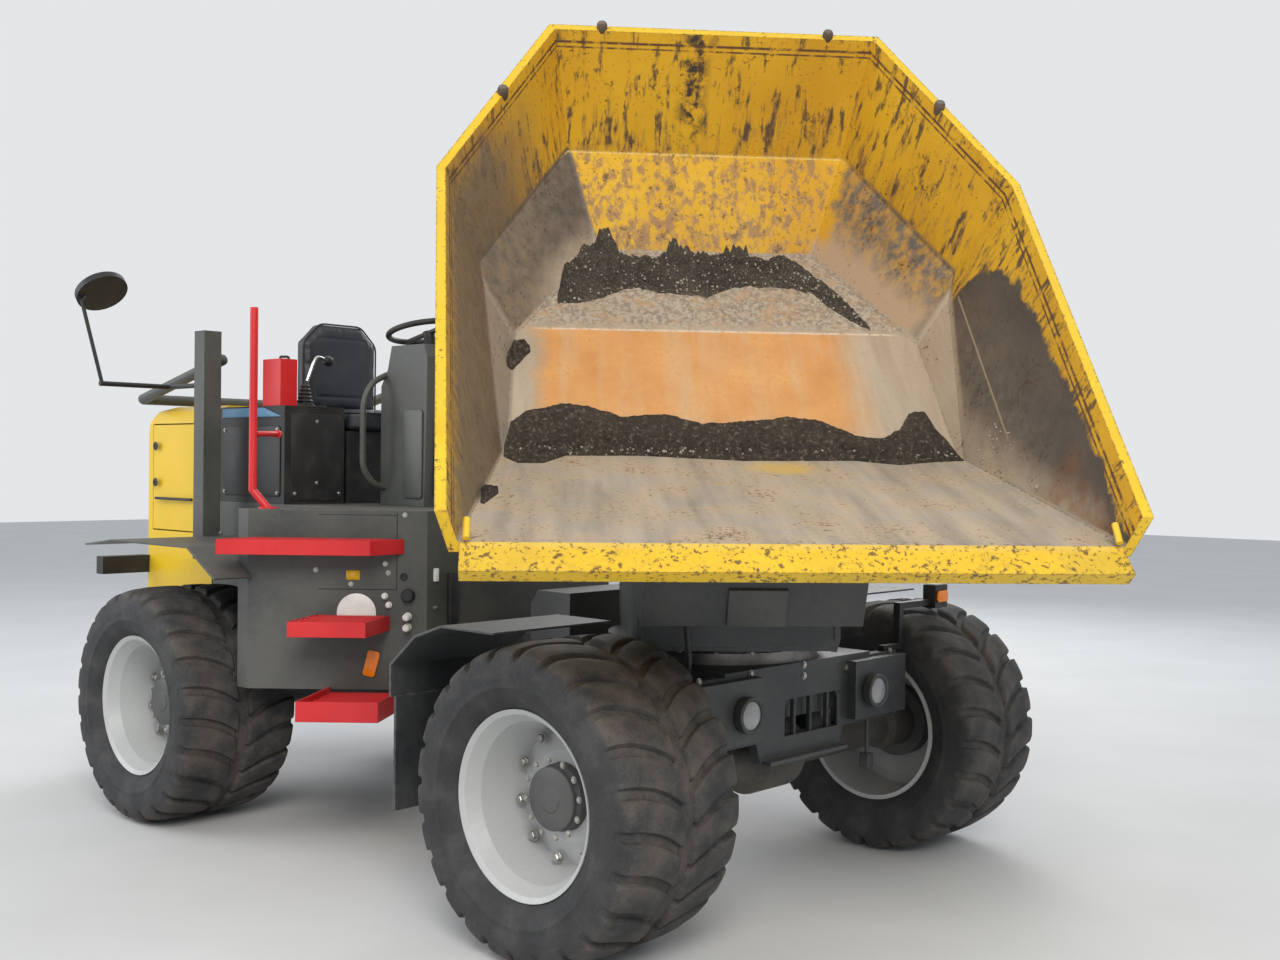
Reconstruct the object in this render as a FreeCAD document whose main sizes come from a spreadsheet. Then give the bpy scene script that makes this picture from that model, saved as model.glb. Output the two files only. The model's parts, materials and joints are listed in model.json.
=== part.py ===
"""Swivel-skip site dumper: articulated chassis, tipped and swivelled skip, open operator station."""

import FreeCAD
import Part

import math
import os
import re
import Sketcher

doc = FreeCAD.newDocument("site_dumper")
sheet = doc.addObject("Spreadsheet::Sheet", "Sizes")

# Driving dimensions in millimetres and degrees.
# Machine axes: x forward from the front axle, y to the left, z up from the ground.
SIZES = [
    ("origin_x", -1019.0),
    ("origin_y", -296.0),
    ("wheelbase", 2524.0),
    ("track", 1970.0),
    ("tyre_radius", 517.0),
    ("carcass_radius", 486.0),
    ("tyre_width", 550.0),
    ("lug_count", 24.0),
    ("wall_count", 20.0),
    ("lug_turn", 92.0),
    ("tyre_bead_half", 222.0),
    ("rim_radius", 306.0),
    ("rim_half", 235.0),
    ("rim_wall", 9.0),
    ("disc_inset", 195.0),
    ("hub_radius", 110.0),
    ("joint_x", -1150.0),
    ("slew_x", -220.0),
    ("slew_radius", 420.0),
    ("slew_low", 880.0),
    ("slew_gap", 6.0),
    ("slew_tall", 42.0),
    ("swing", -42.2),
    ("tip_turn", 43.0),
    ("tip_pin_x", 760.0),
    ("tip_pin_z", 1500.0),
    ("tip_pin_radius", 32.0),
    ("beam_front_x", 200.0),
    ("beam_half", 650.0),
    ("beam_low", 610.0),
    ("beam_high", 868.0),
    ("beam_deep", 40.0),
    ("beam_drop", 78.0),
    ("beam_drop_half", 270.0),
    ("front_rail_half", 290.0),
    ("front_rail_low", 560.0),
    ("bearing_half", 450.0),
    ("bearing_thick", 30.0),
    ("neck_half", 300.0),
    ("neck_high", 1085.0),
    ("neck_front_x", -730.0),
    ("rear_rail_half", 330.0),
    ("rear_rail_low", 520.0),
    ("rear_rail_high", 900.0),
    ("rear_front_x", -1295.0),
    ("deck_high", 1400.0),
    ("deck_front_x", -1335.0),
    ("deck_sheet", 10.0),
    ("skirt_low", 650.0),
    ("corner_half", 545.0),
    ("wing_half", 1055.0),
    ("skin", 8.0),
    ("skip_wall", 8.0),
    ("skip_rim", 32.0),
    ("skip_rim_deep", 70.0),
    ("axle_radius", 80.0),
    ("axle_half", 700.0),
    ("case_radius", 145.0),
    ("fender_gap", 20.0),
    ("rear_fender_high", 1240.0),
    ("post_wide", 90.0),
    ("post_low", 1130.0),
    ("post_high", 2215.0),
    ("hoop_pin_z", 2085.0),
    ("hoop_fold", -12.5),
    ("hoop_long", 800.0),
    ("hoop_radius", 27.0),
    ("hood_low", 1200.0),
    ("hood_high", 1875.0),
    ("hood_wall", 10.0),
    ("door_low", 1240.0),
    ("door_high", 1780.0),
    ("wheel_z", 2230.0),
    ("wheel_ring", 190.0),
    ("deck_clear", 110.0),
    ("post_out", 140.0),
    ("hood_gap", 436.0),
    ("hood_long", 640.0),
    ("wing_gap", 47.0),
]
# Sizes that follow from the ones above.
LINKED = [
    ("deck_half", "=track / 2 - tyre_width / 2 - deck_clear"),
    ("wing_back_x", "=tyre_radius + wing_gap - wheelbase"),
    ("wing_x", "=tyre_radius + wing_gap - wheelbase + 75"),
    ("post_x", "=-wheelbase - 246"),
    ("post_half", "=track / 2 - tyre_width / 2 - deck_clear + post_out"),
    ("hood_half", "=track / 2 - tyre_width / 2 - deck_clear"),
    ("hood_front_x", "=-wheelbase - hood_gap"),
    ("hood_back_x", "=-wheelbase - hood_gap - hood_long"),
    ("rear_end_x", "=-wheelbase - hood_gap - hood_long + 40"),
    ("deck_back_x", "=-wheelbase - hood_gap + 10"),
    ("door_front_x", "=-wheelbase - hood_gap - 130"),
    ("door_back_x", "=-wheelbase - hood_gap - hood_long + 50"),
    ("seat_x", "=-wheelbase - 236"),
    ("wheel_x", "=-wheelbase + 494"),
]

for row, (name, value) in enumerate(SIZES + LINKED, 1):
    sheet.set("A%d" % row, name)
    sheet.set("B%d" % row, str(value))
    sheet.setAlias("B%d" % row, name)
doc.recompute()
ALIASES = {name for name, value in SIZES + LINKED}


def size(name):
    return float(sheet.get(name))


def text_of(value):
    """An expression text in which every alias names its cell of the sheet."""
    words = str(value)
    return re.sub(r"[a-z_]+", lambda m: "Sizes." + m.group(0) if m.group(0) in ALIASES else m.group(0), words)


def bind(thing, place, value):
    thing.setExpression(place, text_of(value))


def move(thing, x=0, y=0, z=0):
    bind(thing, "Placement.Base.x", x)
    bind(thing, "Placement.Base.y", y)
    bind(thing, "Placement.Base.z", z)
    return thing


def box(name, long, wide, tall, x, y, z):
    """A block with its low corner at x, y, z."""
    block = doc.addObject("Part::Box", name)
    bind(block, "Length", long)
    bind(block, "Width", wide)
    bind(block, "Height", tall)
    return move(block, x, y, z)


TURNS = {
    "x": FreeCAD.Rotation(FreeCAD.Vector(0, 1, 0), 90),
    "y": FreeCAD.Rotation(FreeCAD.Vector(1, 0, 0), -90),
    "z": FreeCAD.Rotation(),
}


def rod(name, along, radius, long, x, y, z):
    """A round bar that starts at x, y, z and runs along one axis."""
    bar = doc.addObject("Part::Cylinder", name)
    bind(bar, "Radius", radius)
    bind(bar, "Height", long)
    bar.Placement = FreeCAD.Placement(FreeCAD.Vector(), TURNS[along])
    return move(bar, x, y, z)


def strut(name, radius, start, end):
    """A round bar between two points given in millimetres."""
    run = FreeCAD.Vector(*end) - FreeCAD.Vector(*start)
    bar = doc.addObject("Part::Cylinder", name)
    bind(bar, "Radius", radius)
    bar.Height = run.Length
    bar.Placement = FreeCAD.Placement(FreeCAD.Vector(*start), FreeCAD.Rotation(FreeCAD.Vector(0, 0, 1), run))
    return bar


def ball(name, radius, spot):
    """The round bend where two bars meet."""
    bend = doc.addObject("Part::Sphere", name)
    bind(bend, "Radius", radius)
    bend.Placement.Base = FreeCAD.Vector(*spot)
    return bend


def outline(body, role, name, corners, lift=0):
    """A closed outline of straight edges on one of the body's own planes."""
    plane = [f for f in body.Origin.OriginFeatures if f.Role == role][0]
    sketch = body.newObject("Sketcher::SketchObject", name)
    sketch.AttachmentSupport = [(plane, "")]
    sketch.MapMode = "FlatFace"
    if lift:
        bind(sketch, "AttachmentOffset.Base.z", lift)
    count = len(corners)
    spots = []
    for k in range(count):
        angle = 2 * math.pi * k / count
        spots.append(FreeCAD.Vector(500 * math.cos(angle), 500 * math.sin(angle), 0))
    for k in range(count):
        sketch.addGeometry(Part.LineSegment(spots[k], spots[(k + 1) % count]), False)
    for k in range(count):
        sketch.addConstraint(Sketcher.Constraint("Coincident", k, 2, (k + 1) % count, 1))
    for k, (across, up) in enumerate(corners):
        at = sketch.addConstraint(Sketcher.Constraint("DistanceX", -1, 1, k, 1, 1.0))
        bind(sketch, "Constraints[%d]" % at, across)
        at = sketch.addConstraint(Sketcher.Constraint("DistanceY", -1, 1, k, 1, 1.0))
        bind(sketch, "Constraints[%d]" % at, up)
    return sketch


def plate(name, role, corners, thick, lift=0):
    """A padded outline, half its thickness to each side of its plane."""
    body = doc.addObject("PartDesign::Body", name)
    sketch = outline(body, role, name + "_outline", corners, lift)
    pad = body.newObject("PartDesign::Pad", name + "_pad")
    pad.Profile = sketch
    pad.Midplane = True
    bind(pad, "Length", thick)
    body.Tip = pad
    return body


def spun(name, corners):
    """A form turned about the body's own y axis; corners are radius and place along the axis."""
    body = doc.addObject("PartDesign::Body", name)
    sketch = outline(body, "XY_Plane", name + "_outline", corners)
    turn = body.newObject("PartDesign::Revolution", name + "_turn")
    turn.Profile = sketch
    turn.ReferenceAxis = (sketch, ["V_Axis"])
    turn.Angle = 360
    body.Tip = turn
    return body


def joined(name, pieces):
    whole = doc.addObject("Part::MultiFuse", name)
    whole.Shapes = pieces
    return whole


def less(name, base, tool):
    rest = doc.addObject("Part::Cut", name)
    rest.Base = base
    rest.Tool = tool
    return rest


def shared(name, pieces):
    common = doc.addObject("Part::MultiCommon", name)
    common.Shapes = pieces
    return common


def flipped(name, source):
    """The same piece on the other side of the machine."""
    other = doc.addObject("Part::Mirroring", name)
    other.Source = source
    other.Normal = FreeCAD.Vector(0, 1, 0)
    other.Base = FreeCAD.Vector(0, 0, 0)
    return other


NODES = []


def node(name, thing, where=None):
    """Names a finished sub-part and sets it in the part's own frame."""
    thing.Label = name
    if where is None:
        where = "rotation(vector(0; 0; 1); 0)"
        bind(thing, "Placement", "placement(vector(-origin_x; -origin_y; 0); %s)" % where)
    else:
        bind(thing, "Placement", "placement(vector(-origin_x; -origin_y; 0); rotation(vector(0; 0; 1); 0)) * " + where)
    NODES.append((name, thing))
    return thing


TURNTABLE = "placement(vector(slew_x; 0; 0); rotation(vector(0; 0; 1); swing))"
SKIP = TURNTABLE + " * placement(vector(tip_pin_x; 0; tip_pin_z); rotation(vector(0; 1; 0); tip_turn))"

# Wheels: tyre, dished rim and planetary hub, one set at each corner.
CORNERS = [
    ("front_right", "0", "-track / 2", 0),
    ("front_left", "0", "track / 2", 180),
    ("rear_right", "-wheelbase", "-track / 2", 0),
    ("rear_left", "-wheelbase", "track / 2", 180),
]


def turned_about_axle(shape, angle):
    copy = shape.copy()
    copy.rotate(FreeCAD.Vector(), FreeCAD.Vector(0, 1, 0), angle)
    return copy


def under(shape, lean, slope, distance):
    """What is left of a shape below a plane that leans round the tyre and slopes down to its side."""
    up = FreeCAD.Rotation(FreeCAD.Vector(0, 1, 0), lean).multVec(FreeCAD.Vector(0, -math.sin(slope), math.cos(slope)))
    slab = Part.makeBox(tyre_radius * 4, tyre_radius * 4, tyre_radius, FreeCAD.Vector(-tyre_radius * 2, -tyre_radius * 2, 0))
    slab.Placement = FreeCAD.Placement(up * distance, FreeCAD.Rotation(FreeCAD.Vector(0, 0, 1), up))
    return shape.cut(slab)


def carcass_sector(step):
    """One flat-faced sector of the carcass; the profile is radius and distance from the middle."""
    profile = [
        (bead_radius, size("tyre_bead_half")),
        (carcass_radius - 101, half_width),
        (carcass_radius - 34, half_width - 7),
        (carcass_radius, 0),
    ]
    reach = tyre_radius * 0.3
    points = [FreeCAD.Vector(-reach, y, z) for z, y in profile]
    points += [FreeCAD.Vector(-reach, -y, z) for z, y in reversed(profile[:-1])]
    slice_form = Part.Face(Part.makePolygon(points + points[:1])).extrude(FreeCAD.Vector(reach * 2, 0, 0))
    wide = tyre_radius * 1.2 * math.tan(math.radians(step / 2))
    fan = [FreeCAD.Vector(0, -half_width * 2, 0), FreeCAD.Vector(-wide, -half_width * 2, tyre_radius * 1.2)]
    fan.append(FreeCAD.Vector(wide, -half_width * 2, tyre_radius * 1.2))
    wedge = Part.Face(Part.makePolygon(fan + fan[:1])).extrude(FreeCAD.Vector(0, half_width * 4, 0))
    return slice_form.common(wedge)


def tread_lug():
    """A slanting lug from the right shoulder to the middle groove."""
    turn = size("lug_turn") / 2
    ends = [(-turn, 54, half_width - 9), (turn, 40, 30)]
    (out_x, out_half, out_y), (in_x, in_half, in_y) = ends
    foot = [
        FreeCAD.Vector(out_x - out_half, -out_y, carcass_radius - 50),
        FreeCAD.Vector(out_x + out_half, -out_y, carcass_radius - 50),
        FreeCAD.Vector(in_x + in_half, -in_y, carcass_radius - 50),
        FreeCAD.Vector(in_x - in_half, -in_y, carcass_radius - 50),
    ]
    lug = Part.Face(Part.makePolygon(foot + foot[:1])).extrude(FreeCAD.Vector(0, 0, 120))
    lug = under(lug, 3, 0, tyre_radius - 5.5)
    slope = math.atan2(41, 99)
    return under(lug, -4, slope, (tyre_radius - 8) * math.cos(slope) + (half_width - 110) * math.sin(slope))


tyre_radius = size("tyre_radius")
carcass_radius = size("carcass_radius")
half_width = size("tyre_width") / 2
bead_radius = size("rim_radius") - 7.7
lug_count = int(size("lug_count"))
pitch = 360 / lug_count
wall_count = int(size("wall_count"))
sector = carcass_sector(360 / wall_count)
lug_right = tread_lug()
lug_left = lug_right.mirror(FreeCAD.Vector(), FreeCAD.Vector(0, 1, 0))
phase = 4.6
rounds = []
for k in range(wall_count):
    rounds.append(turned_about_axle(sector, k * 360 / wall_count))
carcass = rounds[0].fuse(rounds[1:]).removeSplitter()
blocks = []
for k in range(lug_count):
    blocks.append(turned_about_axle(lug_right, k * pitch + phase))
    blocks.append(turned_about_axle(lug_left, k * pitch + phase + pitch / 2))
tyre_shape = carcass.fuse(blocks).removeSplitter()

for corner, wheel_x, wheel_y, turned in CORNERS:
    spot = "placement(vector(%s; %s; tyre_radius); rotation(vector(0; 0; 1); %d))" % (wheel_x, wheel_y, turned)
    tyre = doc.addObject("Part::Feature", "tyre_form_" + corner)
    tyre.Shape = tyre_shape.mirror(FreeCAD.Vector(), FreeCAD.Vector(1, 0, 0)) if turned else tyre_shape.copy()
    node("tyre_" + corner, tyre, spot)
    rim = spun(
        "rim_form_" + corner,
        [
            ("hub_radius + 1", "-rim_half + disc_inset"),
            ("hub_radius + 40", "-rim_half + disc_inset"),
            ("rim_radius - 80", "-rim_half + disc_inset + 30"),
            ("rim_radius - 45", "-rim_half + 60"),
            ("rim_radius - 18", "-rim_half + 12"),
            ("rim_radius", "-rim_half"),
            ("rim_radius", "-tyre_bead_half - 5.5"),
            ("rim_radius - 8", "-tyre_bead_half - 0.3"),
            ("rim_radius - 8", "tyre_bead_half + 0.3"),
            ("rim_radius", "tyre_bead_half + 5.5"),
            ("rim_radius", "rim_half"),
            ("rim_radius - 18", "rim_half"),
            ("rim_radius - 30", "0"),
            ("rim_radius - 70", "-rim_half + disc_inset + 46"),
            ("hub_radius + 40", "-rim_half + disc_inset + 16"),
            ("hub_radius + 1", "-rim_half + disc_inset + 16"),
        ],
    )
    node("rim_" + corner, rim, spot)
    hub = spun(
        "hub_form_" + corner,
        [
            ("0", "-rim_half + disc_inset - 55"),
            ("hub_radius - 35", "-rim_half + disc_inset - 55"),
            ("hub_radius", "-rim_half + disc_inset - 30"),
            ("hub_radius", "-rim_half + disc_inset + 16.3"),
            ("hub_radius + 40", "-rim_half + disc_inset + 16.3"),
            ("hub_radius + 40", "-rim_half + disc_inset + 80"),
            ("0", "-rim_half + disc_inset + 80"),
        ],
    )
    node("hub_" + corner, hub, spot)

# Axles: a centre casing with the differential and a tapered arm to each hub.
for axle, axle_x in (("front_axle", "0"), ("rear_axle", "-wheelbase")):
    beam = spun(
        axle + "_form",
        [
            ("0", "-(track / 2 - 40.3)"),
            ("axle_radius + 22", "-(track / 2 - 40.3)"),
            ("axle_radius + 22", "-(track / 2 - 175)"),
            ("axle_radius", "-(track / 2 - 205)"),
            ("axle_radius", "-case_radius - 60"),
            ("case_radius", "-case_radius + 40"),
            ("case_radius", "case_radius - 40"),
            ("axle_radius", "case_radius + 60"),
            ("axle_radius", "track / 2 - 205"),
            ("axle_radius + 22", "track / 2 - 175"),
            ("axle_radius + 22", "track / 2 - 40.3"),
            ("0", "track / 2 - 40.3"),
        ],
    )
    node(axle, beam, "placement(vector(%s; 0; tyre_radius); rotation(vector(0; 0; 1); 0))" % axle_x)

# Front chassis: cross beam, two rails, bearing plate, neck box and articulation lugs.
front_beam = plate(
    "front_beam",
    "YZ_Plane",
    [
        ("-beam_half", "beam_low"),
        ("-beam_drop_half", "beam_low"),
        ("-beam_drop_half + 30", "beam_low - beam_drop"),
        ("beam_drop_half - 30", "beam_low - beam_drop"),
        ("beam_drop_half", "beam_low"),
        ("beam_half", "beam_low"),
        ("beam_half", "beam_high - 20"),
        ("beam_half - 20", "beam_high"),
        ("-beam_half + 20", "beam_high"),
        ("-beam_half", "beam_high - 20"),
    ],
    "beam_deep",
    "beam_front_x - beam_deep / 2",
)
front_trough = plate(
    "front_trough",
    "XZ_Plane",
    [
        ("beam_front_x - beam_deep + 5", "slew_low - bearing_thick + 2"),
        ("beam_front_x - beam_deep + 5", "tyre_radius + case_radius + 12"),
        ("-case_radius - 25", "tyre_radius + case_radius + 12"),
        ("-case_radius - 25", "front_rail_low"),
        ("neck_front_x - 90", "front_rail_low"),
        ("joint_x + 190", "front_rail_low + 60"),
        ("joint_x + 190", "neck_high - 60"),
        ("joint_x + 230", "neck_high"),
        ("neck_front_x", "neck_high"),
        ("neck_front_x", "slew_low - bearing_thick + 2"),
    ],
    "neck_half * 2",
)
bearing_plate = plate(
    "bearing_plate",
    "XY_Plane",
    [
        ("beam_front_x", "-bearing_half"),
        ("beam_front_x", "bearing_half"),
        ("slew_x - 220", "bearing_half"),
        ("slew_x - slew_radius - 20", "bearing_half - 180"),
        ("slew_x - slew_radius - 20", "-bearing_half + 180"),
        ("slew_x - 220", "-bearing_half"),
    ],
    "bearing_thick",
    "slew_low - bearing_thick / 2",
)
LUGS = [("upper", "neck_high - 175"), ("lower", "front_rail_low + 85")]
lug_pieces = []
for lug, lug_z in LUGS:
    lug_pieces.append(
        plate(
            "front_lug_" + lug,
            "XY_Plane",
            [
                ("joint_x + 200", "-230"),
                ("joint_x + 200", "230"),
                ("joint_x - 20", "85"),
                ("joint_x - 75", "45"),
                ("joint_x - 75", "-45"),
                ("joint_x - 20", "-85"),
            ],
            45,
            lug_z,
        )
    )
    lug_pieces.append(rod("front_boss_" + lug, "z", 80, 75, "joint_x", 0, "(%s) - 37.5" % lug_z))
seats = []
for name, seat_y in (("right", "-neck_half"), ("left", "neck_half - 90")):
    seat = box("axle_seat_" + name, 150, 90, "case_radius + 12 - axle_radius + 12", -75, seat_y, "tyre_radius + axle_radius - 12")
    seats.append(less("axle_saddle_" + name, seat, rod("axle_room_" + name, "y", "axle_radius + 0.3", 100, 0, "(%s) - 5" % seat_y, "tyre_radius")))
front_clevis = [
    box("front_clevis_top", 130, 90, 16, "joint_x + 220", -315, 549),
    box("front_clevis_low", 130, 90, 16, "joint_x + 220", -315, 445),
    box("front_clevis_web", 16, 90, 130, "joint_x + 338", -315, 445),
]
beam_window = box("beam_window", "beam_deep + 20", 350, 135, "beam_front_x - beam_deep - 10", -105, "beam_low + 5")
beam_flange = box("beam_flange", 55, "beam_drop_half * 2 - 60", 14, "beam_front_x - 10", "-beam_drop_half + 30", "beam_low - beam_drop")
end_box = box("beam_end_box", 46, "beam_half - 300", 225, "beam_front_x - 1", 290, "beam_high - 235")
beam_pieces = [less("beam_cut", front_beam, beam_window), beam_flange, end_box, flipped("beam_end_box_right", end_box)]
front_whole = joined("front_whole", beam_pieces + [front_trough, bearing_plate] + lug_pieces + seats + front_clevis)
joint_bore = rod("joint_bore", "z", "40.05", "neck_high", "joint_x", 0, 0)
front_chassis = less("front_bored", front_whole, joint_bore)
node("front_chassis", front_chassis)

# Fixed ring of the slew bearing.
ring_form = rod("ring_form", "z", "slew_radius - 20", "slew_tall", "slew_x", 0, "slew_low")
ring_hole = rod("ring_hole", "z", "slew_radius - 110", "slew_tall", "slew_x", 0, "slew_low")
node("slew_ring", less("slew_ring_form", ring_form, ring_hole))

# Front mudguards with a flat flap behind the wheel.
guard = plate(
    "guard_form",
    "XZ_Plane",
    [
        ("-tyre_radius - 125", 790),
        ("-tyre_radius - 125", 905),
        ("-tyre_radius + 10", 1015),
        ("-tyre_radius + 150", "tyre_radius * 2 + fender_gap + 7"),
        ("-100", "tyre_radius * 2 + fender_gap + 7"),
        ("-100", "tyre_radius * 2 + fender_gap"),
        ("-tyre_radius + 153", "tyre_radius * 2 + fender_gap"),
        ("-tyre_radius + 16", 1008),
        ("-tyre_radius - 117", 900),
        ("-tyre_radius - 117", 790),
    ],
    "tyre_width - 10",
    "track / 2",
)
flap = box("flap", 10, "tyre_width - 50", 400, "-tyre_radius - 123", "-track / 2 - tyre_width / 2 + 25", 392)
guard_stay = box("guard_stay", 60, "track / 2 - neck_half - 240", 50, "-tyre_radius - 120", "-track / 2 + 240", 795)
guard_right = joined("guard_right", [guard, flap, guard_stay])
node("front_fenders", joined("front_guards", [guard_right, flipped("guard_left", guard_right)]))

# Head lamps and direction lamps on short arms.
lamp_back = rod("lamp_back", "x", 62, 22, "beam_front_x + 45", 395, 738)
lamp_face = rod("lamp_face", "x", 48, 30, "beam_front_x + 45", 395, 738)
marker = box("marker", 60, 95, 95, "beam_front_x - 40", "track / 2 - 80", 1020)
marker_foot = box("marker_foot", 30, "track / 2 - tyre_width / 2 - 570", 22, "beam_front_x - 35", 560, "beam_high")
marker_post = box("marker_post", 30, 28, "1055 - beam_high", "beam_front_x - 35", "track / 2 - tyre_width / 2 - 38", "beam_high")
marker_arm = box("marker_arm", 30, "tyre_width / 2 - 15", 25, "beam_front_x - 35", "track / 2 - tyre_width / 2 - 38", 1030)
lamp_pieces = [lamp_back, lamp_face, flipped("lamp_back_right", lamp_back), flipped("lamp_face_right", lamp_face)]
lamp_set = joined("lamp_set", lamp_pieces + [marker, marker_foot, marker_post, marker_arm])
node("front_lamps", lamp_set)

# Turntable: base plate, two side plates, raked front plate and the skip's pin.
base_plate = rod("base_plate", "z", "slew_radius", 28, 0, 0, "slew_low + slew_tall + slew_gap")
race = rod("race", "z", "slew_radius - 110.05", 44, 0, 0, "slew_low + 5")
side_plate = plate(
    "side_plate",
    "XZ_Plane",
    [
        (-270, "slew_low + slew_tall + slew_gap + 10"),
        (540, "slew_low + slew_tall + slew_gap + 20"),
        (592, "slew_low + slew_tall + slew_gap + 70"),
        (592, 1078),
        (850, 1078),
        (972, 1335),
        (930, 1350),
        ("tip_pin_x + 55", "tip_pin_z - 20"),
        ("tip_pin_x + 48", "tip_pin_z + 25"),
        ("tip_pin_x + 25", "tip_pin_z + 42"),
        ("tip_pin_x - 25", "tip_pin_z + 42"),
        ("tip_pin_x - 52", "tip_pin_z"),
        (640, 1335),
        (-540, 1335),
        (-540, 1230),
        (-270, 1130),
    ],
    20,
    350,
)
front_plate = plate(
    "front_plate",
    "XZ_Plane",
    [
        (850, 1078),
        (872, 1078),
        (994, 1335),
        (972, 1335),
    ],
    740,
)
rear_plate = box("rear_plate", 20, 680, 100, -540, -340, 1232)
floor_plate = box("floor_plate", 850, 680, 18, -270, -340, "slew_low + slew_tall + slew_gap + 28")
throat_plate = box("throat_plate", 18, 680, 120, 566, -340, 970)
sill_plate = box("sill_plate", 285, 680, 14, 570, -340, 1078)
turn_pin = rod("turn_pin", "y", "tip_pin_radius", 800, "tip_pin_x", -400, "tip_pin_z")
barrel_ear = plate(
    "barrel_ear",
    "XZ_Plane",
    [
        (-430, "slew_low + slew_tall + slew_gap + 200"),
        (-270, "slew_low + slew_tall + slew_gap + 28"),
        (-270, "slew_low + slew_tall + slew_gap + 46"),
        (-150, "slew_low + slew_tall + slew_gap + 46"),
        (-150, "slew_low + slew_tall + slew_gap + 110"),
        (-250, "slew_low + slew_tall + slew_gap + 220"),
    ],
    20,
    80,
)
barrel_pin = rod("barrel_pin", "y", 20, 190, -320, -95, 1085)
tag_spacer = box("tag_spacer", 37.7, 60, 40, 958, -30, 1272)
turn_pieces = [base_plate, race, side_plate, flipped("side_plate_left", side_plate), front_plate, rear_plate, floor_plate]
turn_pieces += [throat_plate, sill_plate, barrel_ear, flipped("barrel_ear_left", barrel_ear), barrel_pin, turn_pin, tag_spacer]
node("turntable", joined("turntable_form", turn_pieces), TURNTABLE)
node("number_plate", box("tag_plate", 4, 478, 112, 0, 0, 0), TURNTABLE + " * placement(vector(996; -239; 1240); rotation(vector(0; 0; 1); 0))")

# Skip: flat plates between these corners, as it lies when lowered, right half mirrored.
SKIP_CORNERS = [
    ("rear_rim", -1209, 652, 2191),
    ("rear_knee", -1126, 586, 1690),
    ("floor_rear", -822, 460, 1390),
    ("floor_side", -227, 805, 1390),
    ("floor_nose", 429, 821, 1390),
    ("chine", -302, 911, 1545),
    ("side_rim", -358, 1050, 2055),
    ("nose_rim", 1433, 962, 2096),
    ("lip", 1455, 919, 2000),
]
# Each plate lies through three corners; a star marks the corner's twin on the other side.
SKIP_PLATES = [
    ("floor", "floor_rear", "floor_rear*", "floor_nose", "middle"),
    ("rear_slope", "floor_rear", "floor_rear*", "rear_knee", "middle"),
    ("rear_wall", "rear_knee", "rear_knee*", "rear_rim", "middle"),
    ("nose_plate", "floor_nose", "floor_nose*", "lip", "middle"),
    ("gusset", "floor_rear", "floor_side", "rear_knee", "both"),
    ("corner_wall", "rear_knee", "side_rim", "rear_rim", "both"),
    ("side_wall", "side_rim", "nose_rim", "chine", "both"),
    ("chine_plate", "floor_side", "floor_nose", "chine", "both"),
]
pin = FreeCAD.Vector(size("tip_pin_x"), 0, size("tip_pin_z"))
corner_at = {}
for name, x, y, z in SKIP_CORNERS:
    corner_at[name] = FreeCAD.Vector(x, y, z) - pin
    corner_at[name + "*"] = FreeCAD.Vector(x, -y, z) - pin
MIDDLE = FreeCAD.Vector(100, 0, 1700) - pin


def skip_body(grown):
    """The room inside the skip, grown outwards by one distance on every plate."""
    room = Part.makeBox(4200, 3200, 2600, MIDDLE - FreeCAD.Vector(2100, 1600, 1000))
    for name, one, two, three, sides in SKIP_PLATES:
        for side in range(2 if sides == "both" else 1):
            spots = [FreeCAD.Vector(corner_at[word]) for word in (one, two, three)]
            if side:
                spots = [FreeCAD.Vector(spot.x, -spot.y, spot.z) for spot in spots]
            out = (spots[1] - spots[0]).cross(spots[2] - spots[0]).normalize()
            if (MIDDLE - spots[0]).dot(out) > 0:
                out = out * -1
            slab = Part.makeBox(9000, 9000, 4000, FreeCAD.Vector(-4500, -4500, 0))
            slab.Placement = FreeCAD.Placement(spots[0] + out * grown, FreeCAD.Rotation(FreeCAD.Vector(0, 0, 1), out))
            room = room.cut(slab)
    return room


def along(name):
    return corner_at[name].x, corner_at[name].z


def upright(points, low, high):
    """A prism across the skip on an outline in its side view."""
    loop = [FreeCAD.Vector(x, low, z) for x, z in points]
    return Part.Face(Part.makePolygon(loop + loop[:1])).extrude(FreeCAD.Vector(0, high - low, 0))


def above_rim(drop):
    rear, side, nose, lip = along("rear_rim"), along("side_rim"), along("nose_rim"), along("lip")
    line = [(rear[0] - 300, rear[1] + 40 - drop), (rear[0], rear[1] - drop), (side[0], side[1] - drop)]
    line += [(nose[0], nose[1] - drop), (nose[0] + 3000, nose[1] - drop), (nose[0] + 3000, 1900), (rear[0] - 300, 1900)]
    return upright(line, -1500, 1500)


def past_nose(back):
    nose, lip = along("nose_rim"), along("lip")
    slope = (lip[0] - nose[0]) / (lip[1] - nose[1])
    low = -1500
    line = [(nose[0] - back + slope * 900, nose[1] + 900), (nose[0] - back + slope * low, nose[1] + low)]
    line += [(nose[0] + 2500, nose[1] + low), (nose[0] + 2500, nose[1] + 900)]
    return upright(line, -1500, 1500)


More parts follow.
